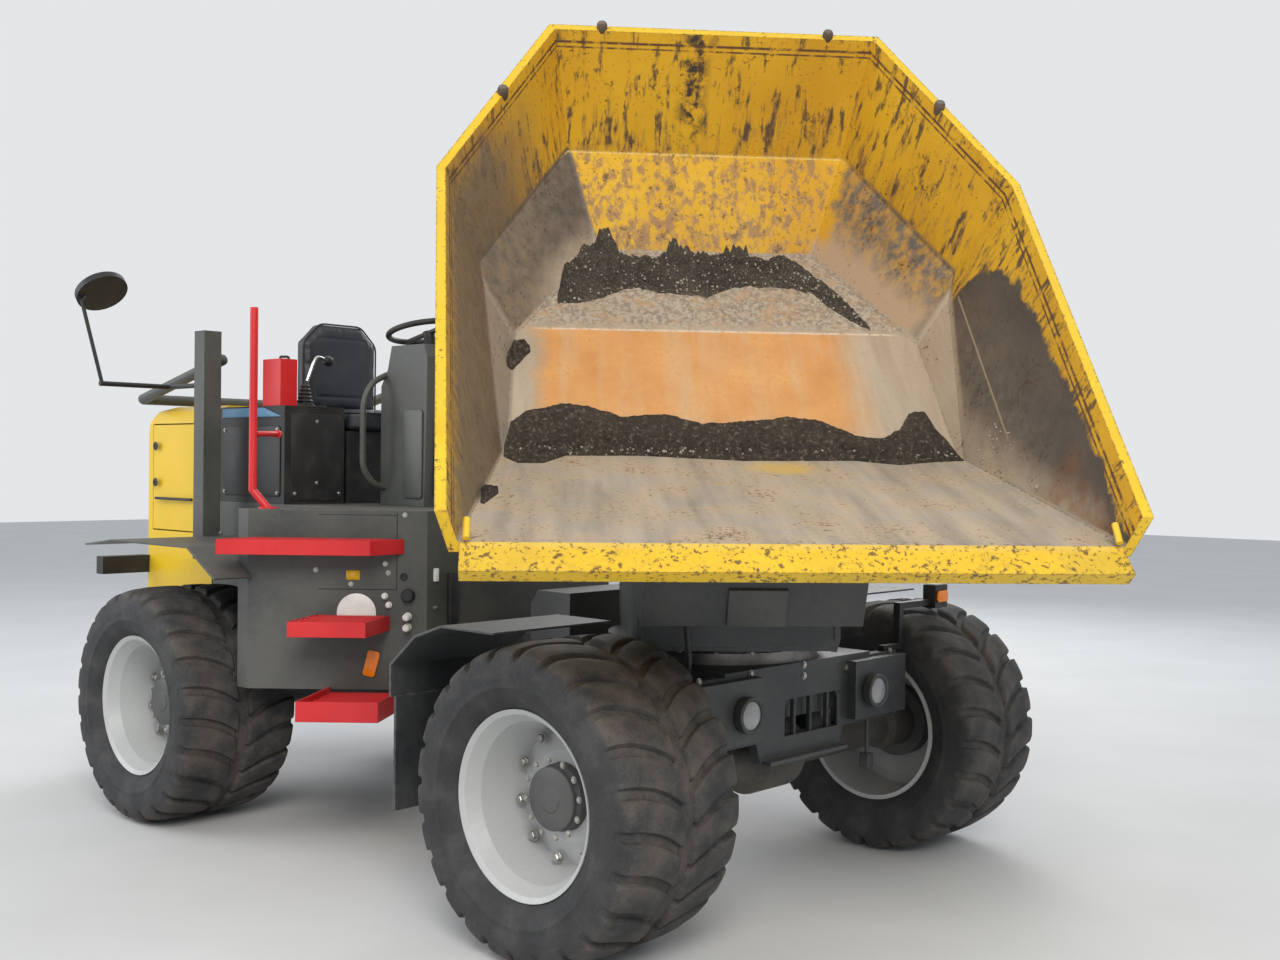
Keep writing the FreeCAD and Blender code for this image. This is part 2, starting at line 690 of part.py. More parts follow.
inner = skip_body(0)
outer = skip_body(size("skip_wall"))
wide = skip_body(size("skip_rim"))
shell = outer.cut(inner).cut(above_rim(0)).cut(past_nose(0))
rim = wide.cut(inner).cut(above_rim(0)).cut(past_nose(0))
rim_top = rim.common(above_rim(size("skip_rim_deep")))
cheek = rim.common(past_nose(45)).cut(upright([(-900, -900), (2900, -900), (2900, along("lip")[1] - 60), (-900, along("lip")[1] - 60)], -1500, 1500))
lip_x, lip_z = along("lip")
lip_bar = upright(
    [
        (lip_x, lip_z),
        (lip_x + 112, lip_z + 5),
        (lip_x + 100, lip_z - 48),
        (lip_x - 75, lip_z - 122),
        (lip_x - 120, lip_z - 85),
    ],
    -corner_at["lip"].y - 10,
    corner_at["lip"].y + 10,
)
lugs = []
for y in (-390, 368, -330, 308):
    lugs.append(
        upright([(-240, -85), (-55, -40), (-15, -52), (25, -48), (50, -15), (150, 200), (-240, 0)], y, y + 22)
    )
for y in (-72, 50):
    lugs.append(upright([(-585, -60), (-560, -120), (-540, -255), (-500, -285), (-460, -255), (-400, -60)], y, y + 22))
knobs = []
for start, end, share, out in (("rear_rim", "rear_rim*", 0.146, 16), ("rear_rim", "side_rim", 0.5, 12)):
    for side in (1, -1):
        spot = corner_at[start] + (corner_at[end] - corner_at[start]) * share
        knobs.append(Part.makeCylinder(14, 46, FreeCAD.Vector(spot.x - out, spot.y * side, spot.z - 20), FreeCAD.Vector(0, 0, 1)))
skip_shape = shell.fuse([rim_top, cheek, lip_bar] + lugs + knobs).cut(inner.cut(above_rim(0)).cut(past_nose(0)))
hole = Part.makeCylinder(size("tip_pin_radius") + 0.05, 900, FreeCAD.Vector(0, -450, 0), FreeCAD.Vector(0, 1, 0))
skip_shape = skip_shape.cut(hole).removeSplitter()
skip = doc.addObject("Part::Feature", "skip_form")
skip.Shape = skip_shape
node("skip", skip, SKIP)

# Tipping cylinder below the skip floor.
barrel_tube = rod("barrel_tube", "x", 55, 440, 70, 0, 0)
barrel_eye = rod("barrel_eye", "y", 42, 130, 0, -65, 0)
barrel_neck = rod("barrel_neck", "x", 40, 60, 20, 0, 0)
barrel_tools = [rod("barrel_bore", "x", "30.05", 500, 100, 0, 0), rod("barrel_pin_bore", "y", "20.05", 150, 0, -75, 0)]
BARREL = TURNTABLE + " * placement(vector(-320; 0; 1085); rotation(vector(0; 1; 0); -48))"
barrel_whole = joined("tip_barrel_whole", [barrel_tube, barrel_eye, barrel_neck])
node("tip_barrel", less("tip_barrel_form", barrel_whole, joined("tip_barrel_tools", barrel_tools)), BARREL)
rod_bar = rod("rod_bar", "x", 30, 440, 380, 0, 0)
rod_eye = rod("rod_eye", "y", 42, 90, 850, -45, 0)
rod_tool = rod("rod_tool", "y", 21, 100, 850, -50, 0)
node("tip_rod", less("tip_rod_form", joined("tip_rod_whole", [rod_bar, rod_eye]), rod_tool), BARREL)

# Rear chassis: box frame, pivot bracket, pin and deck skirts.
rear_box = plate(
    "rear_box",
    "XZ_Plane",
    [
        ("rear_front_x", "rear_rail_high"),
        ("rear_front_x", "rear_rail_low + 40"),
        ("-wheelbase + case_radius + 40", "rear_rail_low + 40"),
        ("-wheelbase + case_radius + 30", "tyre_radius + case_radius + 12"),
        ("-wheelbase - case_radius - 30", "tyre_radius + case_radius + 12"),
        ("-wheelbase - case_radius - 40", "rear_rail_low + 40"),
        ("rear_end_x", "rear_rail_low + 40"),
        ("rear_end_x", "rear_rail_high"),
    ],
    "rear_rail_half * 2",
)
pivot_lug = plate(
    "pivot_lug",
    "XZ_Plane",
    [
        ("rear_front_x - 20", "rear_rail_high - 20"),
        ("rear_front_x - 20", "front_rail_low + 60"),
        ("joint_x - 140", "front_rail_low + 60"),
        ("joint_x - 100", "front_rail_low + 140"),
        ("joint_x - 100", "rear_rail_high - 90"),
        ("joint_x - 130", "rear_rail_high - 40"),
    ],
    280,
)
KNUCKLE_LOW = "front_rail_low + 85 + 43"
KNUCKLE_TALL = "neck_high - 175 - front_rail_low - 85 - 86"
pivot_knuckle = rod("pivot_knuckle", "z", 78, KNUCKLE_TALL, "joint_x", 0, KNUCKLE_LOW)
pivot_tongue = box("pivot_tongue", 180, 120, 150, "joint_x - 190", -60, "front_rail_low + 85 + 60")
pivot_pin = rod("pivot_pin", "z", 40, "neck_high - front_rail_low - 130", "joint_x", 0, "front_rail_low + 25")
rear_seats = []
for name, seat_y in (("right", "-rear_rail_half"), ("left", "rear_rail_half - 90")):
    seat = box("rear_seat_" + name, 150, 90, "case_radius + 24 - axle_radius", "-wheelbase - 75", seat_y, "tyre_radius + axle_radius - 12")
    rear_seats.append(less("rear_saddle_" + name, seat, rod("rear_room_" + name, "y", "axle_radius + 0.3", 100, "-wheelbase", "(%s) - 5" % seat_y, "tyre_radius")))
rear_clevis = [
    box("rear_clevis_top", 85, 90, 16, "joint_x - 400", -285, 549),
    box("rear_clevis_low", 85, 90, 16, "joint_x - 400", -285, 445),
    box("rear_clevis_web", 16, 90, 117, "joint_x - 410", -285, 445),
    rod("rear_clevis_pin", "z", 14, 117, "joint_x - 350", -240, 445),
]
node("rear_chassis", joined("rear_whole", [rear_box, pivot_lug, pivot_knuckle, pivot_tongue, pivot_pin] + rear_seats + rear_clevis))

# Deck: one sheet folded down to a skirt, with both front corners cut back above the steps.
DECK = [
    ("deck_front_x - sheet", "corner_half - sheet / 2"),
    ("wing_x - sheet / 3", "wing_half - sheet"),
    ("wing_back_x + sheet", "wing_half - sheet"),
    ("wing_back_x + sheet", "deck_half - sheet"),
    ("deck_back_x + sheet", "deck_half - sheet"),
]


def deck_outline(sheet_thick):
    """Both halves of the deck's outline, set in by one thickness."""
    half = [(x.replace("sheet", sheet_thick), y.replace("sheet", sheet_thick)) for x, y in DECK]
    return half + [(x, "-(%s)" % y) for x, y in reversed(half)]


deck_block = plate("deck_block", "XY_Plane", deck_outline("0"), "deck_high - skirt_low", "(deck_high + skirt_low) / 2")
deck_room = plate("deck_room", "XY_Plane", deck_outline("deck_sheet"), "deck_high - skirt_low", "(deck_high + skirt_low) / 2 - deck_sheet")
lug_gate = box("lug_gate", 60, "rear_rail_half * 2 + 2", "rear_rail_high + 1 - skirt_low + 10", "deck_front_x - 30", "-rear_rail_half - 1", "skirt_low - 10")
back_gate = box("back_gate", 60, "rear_rail_half * 2 + 2", "rear_rail_high + 1 - skirt_low + 10", "deck_back_x - 30", "-rear_rail_half - 1", "skirt_low - 10")
deck_shell = less("deck_shell", deck_block, joined("deck_tools", [deck_room, lug_gate, back_gate]))
deck_legs = []
for name, leg_x, leg_y in (("front_right", "deck_front_x - 88", -320), ("front_left", "deck_front_x - 88", 240), ("rear_right", "deck_back_x + 70", -320), ("rear_left", "deck_back_x + 70", 240)):
    deck_legs.append(box("deck_leg_" + name, 80, 80, "deck_high - deck_sheet - rear_rail_high + 2", leg_x, leg_y, "rear_rail_high"))
node("deck", joined("deck_form", [deck_shell] + deck_legs))

# Step trays in front of the cut corners: corner places of the front face, width inwards, low and high edge.
TRAYS = [
    ("low", -1418, -1124.6, -1180, -904, -216.7, 301.3, 580, 660),
    ("middle", -1530, -1093.3, -1300, -880, -147.8, 230.0, 900, 962),
    ("top", -1846, -1227.4, -1385, -800, -21, 188.7, 1220, 1282),
]
trays = []
for name, far_x, far_y, near_x, near_y, back_x, back_y, low_z, high_z in TRAYS:
    rims = []
    for part, inset, floor in (("outer", 0, 0), ("inner", 6, 6)):
        corners = [
            (far_x + inset * 0.3, far_y + inset * 1.5),
            (near_x - inset * 1.4, near_y + inset * 0.2),
            (near_x + back_x - inset * 1.4, near_y + back_y + inset),
            (far_x + back_x + inset * 1.1, far_y + back_y + inset),
        ]
        rims.append(plate("tray_%s_%s" % (name, part), "XY_Plane", corners, high_z - low_z, (low_z + high_z) / 2 + floor))
    trays.append(less("tray_" + name, rims[0], rims[1]))
step_right = joined("step_right", trays)
node("steps", joined("step_pair", [step_right, flipped("step_left", step_right)]))

# Rear mudguards: flat top with a sloped front.
rear_guard = plate(
    "rear_guard",
    "XZ_Plane",
    [
        ("-wheelbase - 466", "rear_fender_high - 30"),
        ("-wheelbase - 206", "rear_fender_high"),
        ("-wheelbase + 454", "rear_fender_high"),
        ("-wheelbase + 674", "rear_fender_high - 120"),
        ("-wheelbase + 668", "rear_fender_high - 127"),
        ("-wheelbase + 451", "rear_fender_high - 8"),
        ("-wheelbase - 204", "rear_fender_high - 8"),
        ("-wheelbase - 466", "rear_fender_high - 38"),
    ],
    "track / 2 + 245 - deck_half",
    "(track / 2 + 245 + deck_half) / 2",
)
inner_bend = box("inner_bend", 110, "wing_half - deck_half + 5", 260, "wing_back_x", "-wing_half - 2", 1060)
post_slot = box("post_slot", "post_wide + 2", "post_wide + 2", 100, "post_x - post_wide / 2 - 1", "-post_half - post_wide / 2 - 1", "rear_fender_high - 60")
rear_guard_cut = less("rear_guard_cut", rear_guard, joined("guard_tools", [inner_bend, post_slot]))
node("rear_fenders", joined("rear_guards", [rear_guard_cut, flipped("rear_guard_left", rear_guard_cut)]))

# Engine under the rear hood, hood shell with its service door, bumper and tail lamps.
node("engine_block", box("engine_form", 480, 560, 720, 0, 0, 0), "placement(vector(hood_back_x + 70; -280; rear_rail_high); rotation(vector(0; 0; 1); 0))")
hood_outer = plate(
    "hood_outer",
    "YZ_Plane",
    [
        ("-hood_half", "rear_rail_high"),
        ("hood_half", "rear_rail_high"),
        ("hood_half", "hood_high - 90"),
        ("hood_half - 26", "hood_high - 26"),
        ("hood_half - 90", "hood_high"),
        ("-hood_half + 90", "hood_high"),
        ("-hood_half + 26", "hood_high - 26"),
        ("-hood_half", "hood_high - 90"),
    ],
    "hood_front_x - hood_back_x",
    "(hood_front_x + hood_back_x) / 2",
)
hood_inner = plate(
    "hood_inner",
    "YZ_Plane",
    [
        ("-hood_half + hood_wall", "rear_rail_high - 10"),
        ("hood_half - hood_wall", "rear_rail_high - 10"),
        ("hood_half - hood_wall", "hood_high - 94"),
        ("hood_half - 26 - hood_wall", "hood_high - 26 - hood_wall"),
        ("hood_half - 94", "hood_high - hood_wall"),
        ("-hood_half + 94", "hood_high - hood_wall"),
        ("-hood_half + 26 + hood_wall", "hood_high - 26 - hood_wall"),
        ("-hood_half + hood_wall", "hood_high - 94"),
    ],
    "hood_front_x - hood_back_x - hood_wall * 2",
    "(hood_front_x + hood_back_x) / 2",
)
hood_side = plate(
    "hood_side",
    "XZ_Plane",
    [
        ("hood_front_x + 10", "rear_rail_high - 20"),
        ("hood_front_x + 10", "hood_high + 10"),
        ("hood_back_x + 135", "hood_high + 10"),
        ("hood_back_x + 135", "hood_high"),
        ("hood_back_x + 66", "hood_high - 16"),
        ("hood_back_x + 20", "hood_high - 60"),
        ("hood_back_x", "hood_high - 130"),
        ("hood_back_x", "rear_rail_high - 20"),
    ],
    "hood_half * 2 + 20",
)
room_side = plate(
    "room_side",
    "XZ_Plane",
    [
        ("hood_front_x + 10", "rear_rail_high - 20"),
        ("hood_front_x + 10", "hood_high - hood_wall"),
        ("hood_back_x + 134", "hood_high - hood_wall"),
        ("hood_back_x + 71", "hood_high - 16 - hood_wall"),
        ("hood_back_x + 28", "hood_high - 66"),
        ("hood_back_x + hood_wall", "hood_high - 132"),
        ("hood_back_x + hood_wall", "rear_rail_high - 20"),
    ],
    "hood_half * 2 + 20",
)
door_gap = box("door_gap", "door_front_x - door_back_x + 12", 40, "door_high - door_low + 12", "door_back_x - 6", "-hood_half - 20", "door_low - 6")
hood_room = shared("hood_room", [hood_inner, room_side])
hood_shell = less("hood_shell", shared("hood_rounded", [hood_outer, hood_side]), joined("hood_tools", [hood_room, door_gap]))
hinge_leaves = []
door_leaves = []
for name, leaf_z in (("low", 1300), ("high", 1680)):
    hinge_leaves.append(rod("hood_knuckle_" + name, "z", 8, 40, "door_front_x + 3", "-hood_half - 8.3", leaf_z))
    hinge_leaves.append(box("hood_leaf_" + name, 27, 4, 40, "door_front_x + 3", "-hood_half - 4", leaf_z))
    door_leaves.append(rod("door_knuckle_" + name, "z", 8, 40, "door_front_x + 3", "-hood_half - 8.3", leaf_z + 40.3))
    door_leaves.append(box("door_leaf_" + name, 33, 4, 40, "door_front_x - 30", "-hood_half - 4", leaf_z + 40.3))
node("hood", joined("hood_form", [hood_shell] + hinge_leaves))
door_panel = box("door_form", "door_front_x - door_back_x", "hood_wall", "door_high - door_low", "door_back_x", "-hood_half", "door_low")
node("hood_door", joined("hood_door_form", [door_panel] + door_leaves))
bumper = box("bumper", 155, "hood_half * 2 + 40", 330, 0, 0, 0)
tow_mouth = box("tow_mouth", 110, 180, 70, -1, "hood_half - 70", 130)
tow_bore = rod("tow_bore", "z", 16, 260, 45, "hood_half + 20", 80)
tow_form = less("bumper_form", bumper, joined("tow_tools", [tow_mouth, tow_bore]))
node("rear_bumper", tow_form, "placement(vector(hood_back_x - 115; -hood_half - 20; 560); rotation(vector(0; 0; 1); 0))")
tail = box("tail", 70, 254.7, 90, "hood_back_x - 55", "-hood_half - 255", 1010)
node("tail_lamps", joined("tail_pair", [tail, flipped("tail_left", tail)]))

# Roll-over frame: two posts on the chassis and the folded hoop.
post = box("post", "post_wide", "post_wide", "post_high - post_low", "post_x - post_wide / 2", "-post_half - post_wide / 2", "post_low")
post_foot = box("post_foot", "post_wide + 60", "post_half - deck_half - 0.3", 80, "post_x - post_wide / 2 - 30", "-post_half", "post_low")
post_right = joined("post_right", [post, post_foot])
node("rops_posts", joined("post_pair", [post_right, flipped("post_left", post_right)]))
hoop_leg = rod("hoop_leg", "x", "hoop_radius", "hoop_long", "-hoop_long", "-post_half + post_wide / 2 + hoop_radius + 6", 0)
hoop_bar = rod("hoop_bar", "y", "hoop_radius", "(post_half - post_wide / 2 - hoop_radius - 6) * 2", "-hoop_long", "-(post_half - post_wide / 2 - hoop_radius - 6)", 0)
hoop_boss = rod("hoop_boss", "y", "hoop_radius - 3", 40, 0, "-post_half + post_wide / 2 + 0.3", 0)
node("rops_hoop", joined("hoop_form", [hoop_boss, flipped("hoop_boss_left", hoop_boss), hoop_leg, flipped("hoop_leg_left", hoop_leg), hoop_bar]), "placement(vector(post_x; 0; hoop_pin_z); rotation(vector(0; 1; 0); hoop_fold))")

# Operator station.
console = plate(
    "console_form",
    "XZ_Plane",
    [
        (0, 0),
        (330, 0),
        (345, 470),
        (345, 690),
        (320, 748),
        (78, 748),
        (50, 640),
        (0, 560),
    ],
    400,
)
node("console", console, "placement(vector(wheel_x - 100; 0; deck_high); rotation(vector(0; 0; 1); 0))")
ring = doc.addObject("Part::Torus", "wheel_ring_form")
bind(ring, "Radius1", "wheel_ring")
ring.Radius2 = 14
column = rod("column", "z", 28, "(wheel_z - deck_high - 748.3 - 5.83) / cos(12)", 0, 0, "-(wheel_z - deck_high - 748.3 - 5.83) / cos(12)")
spoke = box("spoke", "wheel_ring * 2", 30, 14, "-wheel_ring", -15, -14)
node("controls", joined("controls_form", [ring, column, spoke]), "placement(vector(wheel_x; 0; wheel_z); rotation(vector(0; 1; 0); -12))")
node("seat_base", box("seat_base_form", 400, 460, 350, 0, 0, 0), "placement(vector(seat_x; -230; deck_high); rotation(vector(0; 0; 1); 0))")
cushion = plate("cushion_form", "XZ_Plane", [(0, 0), (415, 0), (440, 30), (440, 72), (410, 104), (340, 110), (0, 98)], 480)
node("seat_cushion", cushion, "placement(vector(seat_x + 20; 0; deck_high + 350.3); rotation(vector(0; 0; 1); 0))")
back = plate("back_form", "YZ_Plane", [(-240, 0), (240, 0), (240, 340), (215, 430), (160, 480), (-160, 480), (-215, 430), (-240, 340)], 90)
node("seat_back", back, "placement(vector(seat_x - 25.3; 0; deck_high + 440); rotation(vector(0; 0; 1); 0))")
node("side_tank", box("tank_form", 560, "deck_half - 270", 460, 0, 0, 0), "placement(vector(seat_x - 130; -deck_half + 2; deck_high); rotation(vector(0; 0; 1); 0))")
rail_bend = (0, 0, 78)
rail_foot = (46, 46, 0)
rail_pieces = [rod("rail_bar", "z", 17, 772, 0, 0, 78), ball("rail_knee", 17, rail_bend), strut("rail_leg", 17, rail_bend, rail_foot)]
rail_trim = box("rail_trim", 160, 160, 60, -80, -80, -60)
rail = move(less("rail", joined("rail_whole", rail_pieces), rail_trim), "wing_back_x + 18", "-wing_half + 55", "deck_high")
node("handrails", joined("rail_pair", [rail, flipped("rail_left", rail)]))
node("red_box", box("red_box_form", 150, 90, 220, 0, 0, 0), "placement(vector(seat_x + 230; -deck_half + 10; deck_high + 460); rotation(vector(0; 0; 1); 0))")
disc = strut("mirror_disc", 120, (-379.3, -351, 2411.7), (-360.7, -349, 2388.3))
arm_low, arm_high, arm_tip = (-355, -350, 1960), (-380, -440, 2345), (-382, -372, 2424)
disc_arms = [
    rod("mirror_bar", "x", 12, "355 - post_wide / 2 - 0.3", -355, 0, 1960),
    rod("mirror_side_bar", "y", 12, 362, -355, -362, 1960),
    strut("mirror_arm", 9, arm_low, arm_high),
    ball("mirror_elbow", 9, arm_high),
    strut("mirror_hook", 9, arm_high, arm_tip),
    ball("mirror_knob", 20, arm_tip),
]
node("mirror", joined("mirror_form", [disc] + disc_arms), "placement(vector(post_x; -post_half; 0); rotation(vector(0; 0; 1); 0))")

# Steering cylinder between the two frames.
steer_tube = rod("steer_tube", "x", 38, 373, 40, 0, 0)
steer_eye = rod("steer_eye", "z", 34, 60, 0, 0, -30)
steer_neck = rod("steer_neck", "x", 26, 50, 10, 0, 0)
steer_tools = [rod("steer_bore", "x", "20.05", 360, 60, 0, 0), rod("steer_pin_bore", "z", "14.05", 80, 0, 0, -40)]
STEER = "placement(vector(joint_x - 350; -240; 505); rotation(vector(0; 0; 1); -2.77))"
steer_whole = joined("steer_barrel_whole", [steer_tube, steer_eye, steer_neck])
node("steer_barrel", less("steer_barrel_form", steer_whole, joined("steer_barrel_tools", steer_tools)), STEER)
steer_bar = rod("steer_bar", "x", 20, 385, 210, 0, 0)
steer_far = rod("steer_rod_eye", "z", 30, 56, "620.7", 0, -28)
steer_rod_tool = rod("steer_rod_bore", "z", 15, 80, "620.7", 0, -40)
node("steer_rod", less("steer_rod_form", joined("steer_rod_whole", [steer_bar, steer_far]), steer_rod_tool), STEER)

doc.recompute()

bad = []
for thing in doc.Objects:
    if "Invalid" in thing.State or "Error" in thing.State:
        bad.append(thing.Name)
for name, thing in NODES:
    if thing.Shape.isNull() or not thing.Shape.isValid():
        bad.append(name)
if bad:
    raise RuntimeError("failed: " + ", ".join(bad))
os.makedirs("parts", exist_ok=True)
for name, thing in NODES:
    thing.Shape.exportStep("parts/%s.step" % name)
whole = FreeCAD.BoundBox()
for name, thing in NODES:
    whole.add(thing.Shape.BoundBox)
print(len(NODES), "nodes", whole)
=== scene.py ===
"""Looks of the site dumper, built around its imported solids."""

import json
import math
import random

import bmesh
import bpy
from mathutils import Euler, Matrix, Vector, noise
from mathutils.bvhtree import BVHTree


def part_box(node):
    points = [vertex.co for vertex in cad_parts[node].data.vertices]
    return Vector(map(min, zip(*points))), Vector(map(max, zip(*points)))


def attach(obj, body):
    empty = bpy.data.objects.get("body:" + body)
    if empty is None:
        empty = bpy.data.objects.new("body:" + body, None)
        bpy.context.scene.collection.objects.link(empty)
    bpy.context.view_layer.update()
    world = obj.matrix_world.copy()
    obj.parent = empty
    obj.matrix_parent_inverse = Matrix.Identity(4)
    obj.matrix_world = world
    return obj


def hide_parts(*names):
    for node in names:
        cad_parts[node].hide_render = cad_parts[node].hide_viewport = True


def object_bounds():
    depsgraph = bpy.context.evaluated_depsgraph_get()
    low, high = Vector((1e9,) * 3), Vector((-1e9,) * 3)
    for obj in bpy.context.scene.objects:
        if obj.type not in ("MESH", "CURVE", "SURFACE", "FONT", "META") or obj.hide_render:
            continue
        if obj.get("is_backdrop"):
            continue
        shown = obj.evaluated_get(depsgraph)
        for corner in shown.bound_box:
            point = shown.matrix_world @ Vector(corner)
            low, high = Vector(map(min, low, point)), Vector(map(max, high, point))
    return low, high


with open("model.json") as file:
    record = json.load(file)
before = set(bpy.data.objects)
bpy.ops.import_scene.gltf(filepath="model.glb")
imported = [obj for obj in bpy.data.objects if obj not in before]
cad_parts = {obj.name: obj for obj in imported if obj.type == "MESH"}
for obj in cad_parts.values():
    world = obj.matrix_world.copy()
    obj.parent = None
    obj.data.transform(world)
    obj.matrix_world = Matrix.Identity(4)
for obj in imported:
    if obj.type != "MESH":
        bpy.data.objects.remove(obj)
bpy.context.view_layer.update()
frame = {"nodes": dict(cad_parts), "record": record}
scene = bpy.context.scene

# Machine axes: x forward from the front axle, y left, z up, in metres.
ORIGIN = Vector((1.019, 0.296, 0.0))
MACHINE = Matrix.Translation(ORIGIN)
WHEELBASE = 2.524
TRACK = 1.97
TYRE_R = 0.517
FORWARD = (1, 0, 0)
LEFT = (0, 1, 0)
RIGHT = (0, -1, 0)
UP = (0, 0, 1)

# The turntable's axes, and the skip's own axes as it lies lowered and straight ahead.
SLEW_X = -0.22
SWING = math.radians(-42.2)
TIP = math.radians(43.0)
PIN = Vector((0.76, 0.0, 1.5))
TURN = MACHINE @ Matrix.Translation((SLEW_X, 0, 0)) @ Matrix.Rotation(SWING, 4, "Z")
SKIP = TURN @ Matrix.Translation(PIN) @ Matrix.Rotation(TIP, 4, "Y") @ Matrix.Translation(-PIN)


def spot(x, y, z):
    """A place of the machine in the shared frame."""
    return MACHINE @ Vector((x, y, z))


def at(x, y, z):
    return Matrix.Translation((x, y, z))


# Node trees and materials.
class Nodes:
    """A node tree that is put together by short calls."""

    def __init__(self, owner):
        owner.use_nodes = True
        self.tree = owner.node_tree
        self.tree.nodes.clear()

    def put(self, kind, values=None, **settings):
        made = self.tree.nodes.new(kind)
        for key, value in settings.items():
            setattr(made, key, value)
        for key, value in (values or {}).items():
            self.feed(made.inputs[key], value)
        return made

    def feed(self, socket, value):
        if isinstance(value, bpy.types.NodeSocket):
            self.tree.links.new(value, socket)
        elif hasattr(value, "__len__") and len(value) == 3 and socket.type == "RGBA":
            socket.default_value = (*value, 1.0)
        else:
            socket.default_value = value

    def math(self, operation, *values, clamp=False):
        values = dict(enumerate(values))
        return self.put("ShaderNodeMath", values, operation=operation, use_clamp=clamp).outputs[0]


class Shade(Nodes):
    """A material with one shader."""

    def __init__(self, name):
        self.mat = bpy.data.materials.new(name)
        super().__init__(self.mat)
        self.shader = self.put("ShaderNodeBsdfPrincipled")
        self.put("ShaderNodeOutputMaterial", {"Surface": self.shader.outputs[0]})
        self.coords = self.put("ShaderNodeTexCoord").outputs["Object"]

    def set(self, **values):
        for key, value in values.items():
            self.feed(self.shader.inputs[key.replace("_", " ")], value)
        return self

    def add(self, one, two):
        return self.math("ADD", one, two)

    def sub(self, one, two):
        return self.math("SUBTRACT", one, two)

    def mul(self, first, *others):
        for other in others:
            first = self.math("MULTIPLY", first, other)
        return first

    def plus(self, value, other, share, clamp=False):
        """A value and a share of another one on top."""
        return self.math("ADD", value, self.mul(other, share), clamp=clamp)

    def size(self, value):
        return self.math("ABSOLUTE", value)

    def most(self, one, two):
        return self.math("MAXIMUM", one, two)

    def vec(self, operation, *values):
        made = self.put("ShaderNodeVectorMath", dict(enumerate(values)), operation=operation)
        return made.outputs["Value" if operation in ("DOT_PRODUCT", "LENGTH") else "Vector"]

    def axes(self, vector):
        return self.put("ShaderNodeSeparateXYZ", {0: vector}).outputs

    def scaled(self, vector, x, y, z):
        return self.vec("MULTIPLY", vector, (x, y, z))

    def noise(self, vector, scale, detail=4.0, rough=0.55, shift=0.0):
        if shift:
            vector = self.vec("ADD", vector, (shift, shift, shift))
        values = {"Vector": vector, "Scale": scale, "Detail": detail, "Roughness": rough}
        return self.put("ShaderNodeTexNoise", values).outputs["Fac"]

    def ramp(self, value, low, high, start=0.0, end=1.0):
        """A value stretched from low..high to start..end and held there."""
        values = {"Value": value, "From Min": low, "From Max": high, "To Min": start, "To Max": end}
        return self.put("ShaderNodeMapRange", values, clamp=True).outputs["Result"]

    def near(self, value, middle, wide, narrow):
        """1 within a narrow reach of the middle, 0 beyond a wide one."""
        return self.ramp(self.size(self.sub(value, middle)), wide, narrow)

    def mix(self, share, one, two):
        """A colour between two."""
        values = {"Factor": share, 6: one, 7: two}
        return self.put("ShaderNodeMix", values, data_type="RGBA").outputs[2]

    def blend(self, share, one, two):
        """A number between two."""
        values = {"Factor": share, 2: one, 3: two}
        return self.put("ShaderNodeMix", values, data_type="FLOAT").outputs[0]

    def bevel(self, radius):
        return self.put("ShaderNodeBevel", {"Radius": radius}, samples=4).outputs[0]

    def bump(self, height, strength, distance=0.002, rounding=0.0):
        """Relief, with corners rounded to a radius where one is given."""
        values = {"Height": height, "Strength": strength, "Distance": distance}
        if rounding:
            values["Normal"] = self.bevel(rounding)
        self.feed(self.shader.inputs["Normal"], self.put("ShaderNodeBump", values).outputs[0])
        return self

    def line(self, value, points):
        """A value read off straight lines between points."""
        first = points[0][0]
        last = points[-1][0]
        least = min(p[1] for p in points)
        reach = max(p[1] for p in points) - least
        curve = self.put("ShaderNodeFloatCurve", {"Value": self.ramp(value, first, last)})
        knots = curve.mapping.curves[0].points
        for _ in points[2:]:
            knots.new(0.5, 0.5)
        for knot, (place, height) in zip(knots, points):
            knot.location = ((place - first) / (last - first), (height - least) / reach)
            knot.handle_type = "VECTOR"
        curve.mapping.update()
        return self.math("MULTIPLY_ADD", curve.outputs[0], reach, least)

    def world_normal(self):
        return self.put("ShaderNodeNewGeometry").outputs["Normal"]

    def normal(self):
        """The surface's direction in the piece's own axes, which moves with the piece."""
        settings = {"vector_type": "NORMAL", "convert_from": "WORLD", "convert_to": "OBJECT"}
        return self.put("ShaderNodeVectorTransform", {0: self.world_normal()}, **settings).outputs[0]

    def facing_up(self):
        return self.axes(self.normal())[2]

    def edges(self, radius):
        """High where a surface turns a corner within the radius."""
        return self.sub(1.0, self.vec("DOT_PRODUCT", self.bevel(radius), self.world_normal()))


DUST = (0.21, 0.18, 0.14)
# Pale grey of corners: bare metal where paint rubs off, and also a painted edge highlight.
BARE_METAL_AND_EDGE_HIGHLIGHT = (0.3, 0.29, 0.27)
TREAD_MUD = (0.15, 0.122, 0.094)
SIDEWALL_DUST = (0.16, 0.15, 0.135)
OILY_DIRT = (0.06, 0.05, 0.04)
ROUNDING = 0.004


